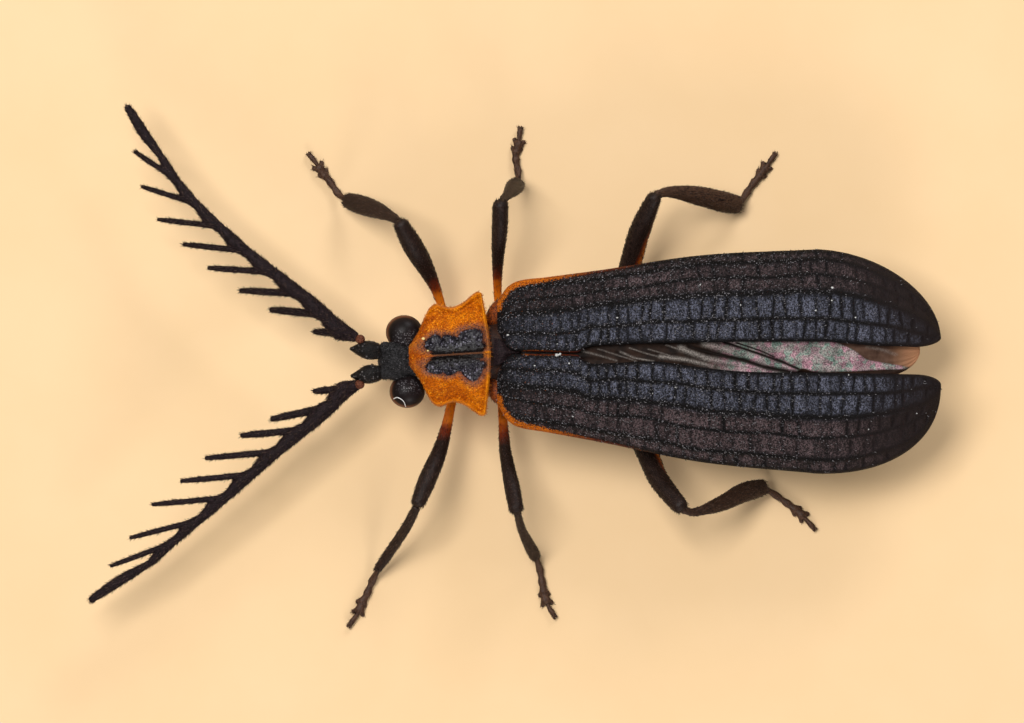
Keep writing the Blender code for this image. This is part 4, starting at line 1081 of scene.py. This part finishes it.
trunk = {
    "upper": ((-0.43, 0.86, 1.35, 2.46), (-0.25, 1.08, 1.2, 2.58), (0.2, 1.24, 1.15, 2.72), (1.0, 1.36, 1.15, 2.82),
              (1.9, 1.38, 1.15, 2.84), (2.6, 1.30, 1.2, 2.86)),
    "abdomenStart": 2.6, "segment": 0.84, "abdomenHalf": (1.20, 1.34, 1.40, 1.40, 1.34, 1.20, 0.96, 0.56),
    "abdomenLow": ((2.6, 1.05), (4.5, 0.95), (7.5, 0.95), (8.8, 1.15), (9.4, 1.45)), "step": 0.04,
    "below": ((2.6, 0.36), (7.6, 0.40), (8.6, 0.55), (9.4, 0.90)),
}


def ringSweep(stations, around=48, tone=0.0):
    # rounded rings across X: (X, half width, lowest, highest) each
    stations = np.array(stations, float)
    points = np.column_stack([stations[:, 0], middleAt(stations[:, 0]), (stations[:, 2] + stations[:, 3]) / 2])
    high = (stations[:, 3] - stations[:, 2]) / 2
    return sweepPart(points, stations[:, 1], high, around, 6, 0.35, tone, tone)


def makeTrunk():
    body = ringSweep(trunk["upper"])
    spot = body["points"]
    body["tone"] = 0.85 * ease((0.35 - spot[:, 0]) / 0.5) * ease((np.abs(spot[:, 1] - middleAt(spot[:, 0])) - 0.4) / 0.3)
    plate = []
    for sign in (1, -1):
        x = np.linspace(-0.62, 0.0, 14)
        line = np.column_stack([x, middleAt(x) + sign * spread((0.75, 1.05, 1.2, 1.3), 14), spread((2.15, 2.32, 2.3, 2.1), 14)])
        plate.append(sweepPart(line, spread((0.20, 0.24, 0.2, 0.14), 14), 0.22, 20, 4, 0.7, 0.9, 0.6))
    neck = sweepPart([(-0.95, 0.34, 2.02), (-0.6, 0.335, 2.12), (-0.3, 0.33, 2.15)], (0.72, 0.76, 0.8), (0.48, 0.52, 0.5), 36, 4, 0.5, 0.1, 0.1)
    return makeSkin("trunk", [body, neck, *plate])


def makeScutellum():
    # the small velvety plate between the wing cases
    x = np.linspace(-0.56, 0.10, 26)
    half = curveAt(((-0.56, 0.34), (-0.40, 0.32), (-0.18, 0.16), (0.10, 0.05)), x)
    u = np.linspace(-1, 1, 21)
    gx, gu = np.meshgrid(x, u, indexing="ij")
    y = middleAt(gx) + gu * half[:, None]
    z = 2.84 - 0.10 * np.abs(gu) ** 2.5 - 0.08 * bell((gx + 0.56) / 0.08) + 0.02 * np.cos(gu * 5)
    top = sheetPart(np.stack([gx, y, z], -1), (1, 0, 0), cover=1.0)
    low = np.stack([gx, y, np.full_like(z, 2.2)], -1)
    whole = joinParts([top, sheetPart(low, (1, 0, 0))])
    return makeSkin("scutellum", [closeSheets(whole, *gx.shape)])


def makeAbdomen():
    stations = []
    halves = trunk["abdomenHalf"]
    for i, half in enumerate(halves):
        start = trunk["abdomenStart"] + trunk["segment"] * i
        hind = (half + halves[min(i + 1, len(halves) - 1)]) / 2
        for share, wide, step in ((0.0, half - trunk["step"], trunk["step"]), (0.1, half, 0.0), (0.5, half, 0.0), (0.97, hind, 0.0)):
            x = start + trunk["segment"] * share
            top = float(caseHeight(np.array(x - case["base"]), np.array(0.0)) - curveAt(trunk["below"], x))
            low = float(curveAt(trunk["abdomenLow"], x))
            stations.append((x, wide, low + step, max(top - step, low + 0.3)))
    return makeSkin("belly", [ringSweep(stations)])


skin = makeTrunk()
growCoat("trunkHairs", skin, limbHair, "black_shell", 90, 0.09, 0.012, 0.5, 0.3, 41)
finishPiece(skin, trunkFinish, "black_shell", "thorax")
skin = makeScutellum()
growCoat("scutellumHairs", skin, limbHair, "black_shell", 200, 0.04, 0.012, 0.6, 0.4, 42)
finishPiece(skin, feelerFinish, "black_shell")
skin = makeAbdomen()
growCoat("bellyHairs", skin, limbHair, "black_shell", 60, 0.10, 0.012, 0.4, 0.3, 43)
finishPiece(skin, trunkFinish, "black_shell", "abdomen")
print("trunk made")


wing = {
    "start": 0.9, "right": (-0.62, 1.22), "left": (-1.5, -0.87), "tip": 10.1, "rows": 380, "columns": {"right": 128, "left": 50}, "thick": 0.03,
    "under": 0.22, "pleat": 0.006,
    "top": ((4.3, 0.75), (5.475, 0.60), (7.475, 0.5875), (7.975, 0.56), (8.44, 0.3575), (8.75, 0.1425), (9.05, 0.075), (9.8, -0.05)),
    "bottom": ((5.2, -0.60), (6.9, -0.60), (7.05, -0.115), (7.475, -0.165), (8.325, -0.15), (9.05, -0.115), (9.8, -0.09)),
    "folds": (  # dark: line of places, half width
        (((4.325, 0.465), (4.975, 0.275), (5.725, 0.1075), (6.19, -0.05), (6.9, -0.19), (7.5, -0.22)), 0.05),
        (((5.19, 0.575), (5.725, 0.40), (6.3, 0.20), (6.65, 0.075), (7.05, -0.10)), 0.03),
        (((5.5, 0.56), (6.1, 0.36), (6.45, 0.20)), 0.018),
    ),
    "gleams": (  # light: line of places, half width, strength
        (((1.6175, 0.3575), (2.05, 0.25), (2.51, 0.1075)), 0.022, 0.5),
        (((2.6, 0.33), (2.975, 0.175), (3.44, 0.09)), 0.022, 0.65),
        (((2.83, 0.43), (3.26, 0.285), (3.69, 0.1775)), 0.016, 0.6),
        (((2.05, 0.40), (2.5, 0.26), (3.0, 0.10)), 0.014, 0.45),
        (((3.3, 0.40), (3.8, 0.25), (4.3, 0.08)), 0.014, 0.5),
        (((3.75, 0.50), (4.4, 0.28), (5.1, 0.05)), 0.018, 0.5),
        (((3.6, 0.215), (4.19, 0.1425), (4.9, -0.035)), 0.045, 0.75),
        (((4.1, 0.43), (4.725, 0.1775), (5.725, -0.035), (6.2, -0.13)), 0.065, 0.85),
        (((4.725, 0.55), (5.225, 0.40), (5.725, 0.25), (6.1, 0.12)), 0.09, 0.9),
    ),
    "tipStreak": ((8.76, 0.46), (9.1, 0.40), (9.5, 0.26)),
}


def distanceTo(line, x, y):
    # least distance from places to a line of points
    best = np.full(x.shape, 9.0)
    for (ax, ay), (bx, by) in zip(line, line[1:]):
        f = np.clip(((x - ax) * (bx - ax) + (y - ay) * (by - ay)) / ((bx - ax) ** 2 + (by - ay) ** 2), 0, 1)
        best = np.minimum(best, np.hypot(x - ax - f * (bx - ax), y - ay - f * (by - ay)))
    return best


def makeWing(side, sign):
    low, high = wing[side]
    x, across = np.meshgrid(np.linspace(wing["start"], wing["tip"], wing["rows"]), np.linspace(0, 1, wing["columns"][side]), indexing="ij")
    past = np.clip((x - wing["start"]) / (wing["tip"] - wing["start"]) - 0.6, 0, 1) / 0.4
    narrow = np.maximum((1 - past ** 3.5) ** 0.45, 0.12)
    offset = (low + high) / 2 + (high - low) / 2 * narrow * (2 * across - 1)
    s = x - case["base"]
    inner, outer = caseEdges(side, s)
    t = np.clip((np.abs(offset) - inner) / np.maximum(outer - inner, 0.2), 0, 1)
    y = middleAt(x) + offset
    z = caseHeight(s, t) - wing["under"]
    vein, gleam = np.zeros_like(x), np.zeros_like(x)
    for line, half in wing["folds"]:
        vein = np.maximum(vein, bell(distanceTo(line, x, y) / half))
    for line, half, strength in wing["gleams"]:
        gleam = np.maximum(gleam, strength * bell(distanceTo(line, x, y) / half))
    z += wing["pleat"] * np.sin(across * 60 + x * 1.1) + 0.03 * gleam - 0.05 * vein
    top, bottom = curveAt(wing["top"], x), curveAt(wing["bottom"], x)
    panel = ease((top - y) / 0.05 + 0.5) * ease((y - bottom) / 0.04 + 0.5) * ease((x - 4.7) / 1.1) * ease((9.85 - x) / 0.3)
    panel = np.maximum(panel, gleam * ease((x - 4.4) / 1.2) * ease((6.6 - x) / 0.6)) * (1 - vein)
    streak = gleam * ease((5.6 - x) / 1.2) * (1 - vein)
    above = ease((y - top) / 0.08 + 0.5) * ease((x - 8.0) / 0.4)
    glow = ease((x - 9.2) / 0.9) * 0.8 * above
    streak = np.maximum(streak, 0.25 * bell(distanceTo(wing["tipStreak"], x, y) / 0.04))
    grid = np.stack([x, y, z], -1)
    lower = grid.copy()
    lower[..., 2] -= wing["thick"]
    fields = {"vein": vein, "panel": panel, "streak": streak, "clear": above, "glow": glow}
    whole = joinParts([sheetPart(grid, (1, 0, 0), **fields), sheetPart(lower, (1, 0, 0), **fields)])
    return makeSkin("hindWing_" + side, [closeSheets(whole, *x.shape)])


for side, sign in sides:
    piece = makeWing(side, sign)
    finishPiece(piece, wingFinish, "wing", "hindwing_" + side)
print("hind wings made")


legs = {
    "front_right": {
        "femur": ((-1.70, 0.80, 0.84), (-1.85, 1.42, 1.05), (-2.04, 1.975, 1.32), (-2.30, 2.50, 1.62), (-2.59, 3.00, 1.95), (-2.87, 3.50, 2.25)),
        "femurHalf": (0.10, 0.10, 0.12, 0.175, 0.235, 0.245, 0.19),
        "tibia": ((-2.90, 3.55, 2.22), (-3.075, 3.69, 1.95), (-3.42, 3.86, 1.45), (-3.82, 4.00, 0.90), (-4.24, 4.14, 0.42)),
        "tibiaHalf": (0.09, 0.13, 0.19, 0.225, 0.235, 0.19),
        "tarsus": ((-4.30, 4.17, 0.34), (-4.475, 4.315, 0.16), (-4.70, 4.64, 0.11), (-4.84, 4.81, 0.11), (-5.06, 5.12, 0.11), (-5.19, 5.28, 0.10)),
    },
    "mid_right": {
        "femur": ((-0.42, 0.92, 0.66), (-0.465, 2.00, 1.15), (-0.45, 2.775, 1.75), (-0.41, 3.35, 2.25), (-0.39, 3.98, 2.8)),
        "femurHalf": (0.10, 0.095, 0.11, 0.135, 0.17, 0.195, 0.19),
        "tibia": ((-0.37, 4.07, 2.78), (-0.20, 4.27, 2.2), (-0.075, 4.43, 1.4), (0.07, 4.58, 0.42)),
        "tibiaHalf": (0.09, 0.115, 0.17, 0.205, 0.21, 0.17), "warm": 0.0,
        "tarsus": ((0.06, 4.66, 0.32), (0.045, 4.90, 0.13), (0.0, 5.14, 0.11), (0.0, 5.35, 0.11), (0.06, 5.56, 0.11), (0.10, 5.93, 0.10)),
    },
    "hind_right": {
        "femur": ((2.35, 1.02, 0.66), (2.75, 2.15, 1.05), (2.93, 2.75, 1.35), (3.09, 3.33, 1.72), (3.30, 3.84, 2.05), (3.45, 4.17, 2.3)),
        "femurHalf": (0.17, 0.21, 0.25, 0.265, 0.26, 0.235, 0.18),
        "tibia": ((3.53, 4.27, 2.28), (3.78, 4.33, 2.05), (4.10, 4.32, 1.75), (4.65, 4.23, 1.25), (5.21, 4.10, 0.75), (5.58, 4.03, 0.42)),
        "tibiaHalf": (0.09, 0.14, 0.19, 0.235, 0.25, 0.26, 0.22), "warm": 0.75,
        "tarsus": ((5.66, 4.10, 0.32), (5.80, 4.33, 0.15), (5.97, 4.57, 0.11), (6.13, 4.76, 0.11), (6.25, 4.93, 0.11), (6.5, 5.28, 0.10)),
    },
    "front_left": {
        "femur": ((-1.50, -0.36, 0.84), (-1.66, -1.15, 1.08), (-1.77, -1.655, 1.25), (-1.93, -2.20, 1.5), (-2.17, -2.76, 1.8), (-2.44, -3.42, 2.1)),
        "femurHalf": (0.12, 0.115, 0.13, 0.165, 0.205, 0.215, 0.18),
        "tibia": ((-2.50, -3.58, 2.08), (-2.72, -4.01, 1.6), (-2.95, -4.37, 1.15), (-3.19, -4.72, 0.75), (-3.46, -5.11, 0.42)),
        "tibiaHalf": (0.105, 0.12, 0.125, 0.125, 0.125, 0.105),
        "tarsus": ((-3.48, -5.16, 0.36), (-3.61, -5.42, 0.15), (-3.77, -5.80, 0.11), (-3.88, -5.98, 0.11), (-3.95, -6.19, 0.11), (-4.18, -6.53, 0.10)),
    },
    "mid_left": {
        "femur": ((-0.42, -0.38, 0.66), (-0.33, -1.35, 1.0), (-0.28, -2.07, 1.35), (-0.20, -2.55, 1.65), (-0.09, -3.10, 2.0), (0.0, -3.58, 2.35)),
        "femurHalf": (0.11, 0.10, 0.12, 0.14, 0.165, 0.19, 0.18),
        "tibia": ((0.04, -3.72, 2.32), (0.14, -4.10, 1.75), (0.30, -4.45, 1.1), (0.49, -4.82, 0.42)),
        "tibiaHalf": (0.09, 0.10, 0.11, 0.13, 0.15, 0.14),
        "tarsus": ((0.52, -4.88, 0.36), (0.60, -5.15, 0.15), (0.68, -5.60, 0.11), (0.74, -5.88, 0.11), (0.82, -6.08, 0.11), (0.96, -6.30, 0.10)),
    },
    "hind_left": {
        "femur": ((2.42, -0.55, 0.66), (3.05, -1.70, 0.95), (3.33, -2.30, 1.2), (3.53, -2.78, 1.55), (3.80, -3.17, 1.9), (4.10, -3.52, 2.25)),
        "femurHalf": (0.17, 0.22, 0.265, 0.265, 0.25, 0.235, 0.2),
        "tibia": ((4.18, -3.62, 2.27), (4.42, -3.685, 2.1), (4.79, -3.60, 1.8), (5.20, -3.45, 1.4), (5.72, -3.20, 0.9), (6.22, -3.07, 0.42)),
        "tibiaHalf": (0.085, 0.11, 0.16, 0.20, 0.23, 0.24, 0.2), "warm": 0.45,
        "tarsus": ((6.30, -3.12, 0.32), (6.50, -3.25, 0.15), (6.80, -3.46, 0.11), (6.98, -3.60, 0.11), (7.20, -3.78, 0.11), (7.49, -4.10, 0.10)),
    },
}
foot = {
    "shares": (0.30, 0.18, 0.14, 0.14, 0.24), "halves": (0.092, 0.098, 0.112, 0.125, 0.076), "claw": 0.09, "warm": 1.0,
}

hip = {"rise": 0.95, "inward": 0.34, "half": (0.40, 0.36, 0.28, 0.19)}


def makeLeg(name):
    own = legs[name]
    femur = smoothLine(own["femur"], 30)
    half = spread(own["femurHalf"], 30)
    parts = [sweepPart(femur, half, half * 0.9, 26, 5, 0.9, 1.0, 0.0)]
    parts[0]["cover"] = 1 - 0.75 * ease((parts[0]["tone"] - 0.55) / 0.15)
    if name.startswith("hind"):  # orange further along on the side towards the tail
        tree = KDTree(len(femur))
        for i, point in enumerate(femur):
            tree.insert(point, i)
        tree.balance()
        near = np.array([tree.find(point)[1] for point in parts[0]["points"]])
        tailward = (parts[0]["points"][:, 0] - femur[near, 0]) / half[near]
        parts[0]["tone"] = parts[0]["tone"] * 0.78 + 0.50 * np.clip(tailward, -0.6, 1)
    coxa = np.array(own["femur"][0])
    seat = coxa + (0, (middleAt(coxa[0]) - coxa[1]) * hip["inward"], hip["rise"])
    line = smoothLine([seat, (seat + coxa) / 2 + (0, (coxa[1] - seat[1]) * 0.25, 0), coxa], 10)
    parts.append(sweepPart(line, spread(hip["half"], 10), spread(hip["half"], 10) * 0.9, 26, 5, 0.8, 0.60, 0.95, up=(1, 0, 0)))
    tibia = smoothLine(own["tibia"], 26)
    half = spread(own["tibiaHalf"], 26)
    shin = sweepPart(tibia, half, half * 0.62, 22, 5, 0.8)
    shin["warm"] = np.full(len(shin["points"]), own.get("warm", 0.15))
    parts.append(shin)
    for turn in (-1, 1):  # two spurs at the end of the shin
        along = unit(tibia[-1] - tibia[-3])
        across = unit(np.cross((0, 0, 1), along))
        root = tibia[-1] + across * turn * half[-1] * 0.5
        line = np.linspace(root, root + along * 0.16 + across * turn * 0.02, 5)
        parts.append(sweepPart(line, spread((0.028, 0.02, 0.008), 5), spread((0.028, 0.02, 0.008), 5), 8, 2, 0.8, 0.1, 0.1))
    line = smoothLine(own["tarsus"], 61)
    before = len(parts)
    passed = 0.0
    for k, (share, wide) in enumerate(zip(foot["shares"], foot["halves"])):
        a, b = round(passed * 60), round((passed + share) * 60)
        bit = line[a:b + 1]
        n = len(bit)
        if k < 4:
            shape = spread((0.72, 0.76, 0.9, 1.02, 0.85), n)
            flat = 0.6
        else:
            shape = spread((0.6, 0.65, 0.8, 0.9, 0.8), n)
            flat = 0.8
        parts.append(sweepPart(bit, wide * shape, np.minimum(wide * shape * flat, bit[:, 2] - 0.012), 16, 3, 0.6))
        if 1 < k < 4:  # pads that spread to both sides below the joint
            along = unit(bit[-1] - bit[0])
            across = unit(np.cross((0, 0, 1), along))
            for turn in (-1, 1):
                end = bit[-1] + across * turn * wide * 1.05 + along * 0.04
                pad = np.linspace(bit[n // 2], end, 6)
                pad[:, 2] = np.linspace(bit[n // 2][2], 0.05, 6)
                parts.append(sweepPart(pad, spread((0.05, 0.068, 0.052), 6), 0.04, 12, 3, 0.8))
        passed += share
    tipAlong = unit(line[-1] - line[-6])
    across = unit(np.cross((0, 0, 1), tipAlong))
    for turn in (-1, 1):  # the two claws
        root = line[-1] + across * turn * 0.016
        hook = smoothLine([root, root + tipAlong * 0.05 + across * turn * 0.018 + (0, 0, 0.02),
                           root + tipAlong * foot["claw"] + across * turn * 0.014 - (0, 0, 0.05)], 9)
        hook[:, 2] = np.maximum(hook[:, 2], 0.02)
        parts.append(sweepPart(hook, spread((0.035, 0.03, 0.008), 9), spread((0.035, 0.03, 0.008), 9), 10, 3))
    for k, part in enumerate(parts):
        part["points"][:, 2] = np.maximum(part["points"][:, 2], 0.0)
        part["cover"] = np.where(part["points"][:, 2] < 0.25, part["cover"] * 0.6, part["cover"])
        if k >= before:
            part["warm"] = np.full(len(part["points"]), foot["warm"])
            part["cover"] = part["cover"] * 0.6
    return makeSkin("leg_" + name, parts)


for k, name in enumerate(legs):
    skin = makeLeg(name)
    growCoat("legHairs_" + name, skin, limbHair, "black_shell", 380, 0.07, 0.012, 0.32, 0.22, 60 + k)
    finishPiece(skin, limbFinish, "black_shell", "femur_" + name, "tibia_" + name, "tarsus_" + name)
print("legs made")


dust = {
    "placed": ((1.025, 0.25, 0.05), (1.10, 0.27, 0.035), (-0.2, 0.75, 0.03), (7.275, 2.32, 0.032), (7.9, 1.92, 0.034), (8.3, -0.25, 0.03),
               (3.2, 1.75, 0.024), (3.6, 1.1, 0.022), (4.6, 2.0, 0.026), (5.6, 1.5, 0.024), (6.3, 0.85, 0.024), (10.0, -1.2, 0.03),
               (4.0, -0.55, 0.024), (5.2, -1.3, 0.024), (6.6, -2.1, 0.022), (7.4, -0.9, 0.03), (8.8, -1.6, 0.026), (2.2, -0.9, 0.024)),
    "many": 44, "size": (0.012, 0.024),
}


def makeDust():
    # pale grains that lie on the wing cases
    own = np.random.default_rng(77)
    spots = list(dust["placed"])
    for k in range(dust["many"]):
        x, t = own.uniform(0.2, 9.8), own.uniform(0.08, 0.92)
        side, sign = sides[k % 2]
        inner, outer = caseEdges(side, np.array(x - case["base"]))
        spots.append((x, float(middleAt(x) + sign * (inner + (outer - inner) * t)), own.uniform(*dust["size"])))
    parts = []
    for x, y, half in spots:
        side, sign = sides[0] if y > middleAt(x) else sides[1]
        s = np.array(x - case["base"])
        inner, outer = caseEdges(side, s)
        t = np.clip((sign * (y - middleAt(x)) - inner) / (outer - inner), 0, 1)
        z = float(caseHeight(s, t)) + half * 0.5
        grain = ballPart((x, y, z), half * own.uniform(0.7, 1.3, 3), 7, 4)
        grain["points"] = grain["points"] + own.normal(0, half * 0.12, grain["points"].shape)
        parts.append(grain)
    return makeSkin("dustOnCases", parts)


finishPiece(makeDust(), dustFinish, "wing_case")
print("dust made")


bpy.data.objects.remove(bristle)
view = {"centre": (-0.10, 0.09), "width": 25.6, "lens": 500.0, "level": 2.5}
floorMesh = bpy.data.meshes.new("floor")
floorMesh.from_pydata([(-0.09, -0.09, 0), (0.09, -0.09, 0), (0.09, 0.09, 0), (-0.09, 0.09, 0)], [], [(0, 1, 2, 3)])
floor = bpy.data.objects.new("floor", floorMesh)
bpy.context.scene.collection.objects.link(floor)
floor.data.materials.append(makeFloorFinish())

cameraData = bpy.data.cameras.new("camera")
cameraData.lens = view["lens"]
cameraData.sensor_width = 36.0
cameraData.clip_start = 0.01
cameraData.clip_end = 10.0
camera = bpy.data.objects.new("camera", cameraData)
bpy.context.scene.collection.objects.link(camera)
distance = view["width"] * view["lens"] / 36.0
camera.location = (view["centre"][0] * metres, view["centre"][1] * metres, (view["level"] + distance) * metres)
bpy.context.scene.camera = camera


def addLight(name, place, size, power, colour):
    data = bpy.data.lights.new(name, "AREA")
    data.shape = "RECTANGLE"
    data.size, data.size_y = size[0] * metres, size[1] * metres
    data.energy = power
    data.color = colour
    lamp = bpy.data.objects.new(name, data)
    bpy.context.scene.collection.objects.link(lamp)
    lamp.location = Vector(place) * metres
    lamp.rotation_euler = (-Vector(place)).to_track_quat("-Z", "Y").to_euler()
    return lamp


addLight("softTop", (-60, 50, 200), (110, 80), 0.42, (1.0, 0.99, 0.97))
addLight("sideRight", (60, 150, 90), (70, 50), 0.15, (0.97, 0.98, 1.0))
addLight("sideLeft", (30, -160, 80), (70, 50), 0.13, (1.0, 0.98, 0.96))
world = bpy.data.worlds.new("studio")
world.use_nodes = True
world.node_tree.nodes["Background"].inputs["Color"].default_value = (1.0, 0.99, 0.97, 1.0)
world.node_tree.nodes["Background"].inputs["Strength"].default_value = 0.25
bpy.context.scene.world = world
bpy.context.scene.view_settings.view_transform = "Standard"
print("stage set")
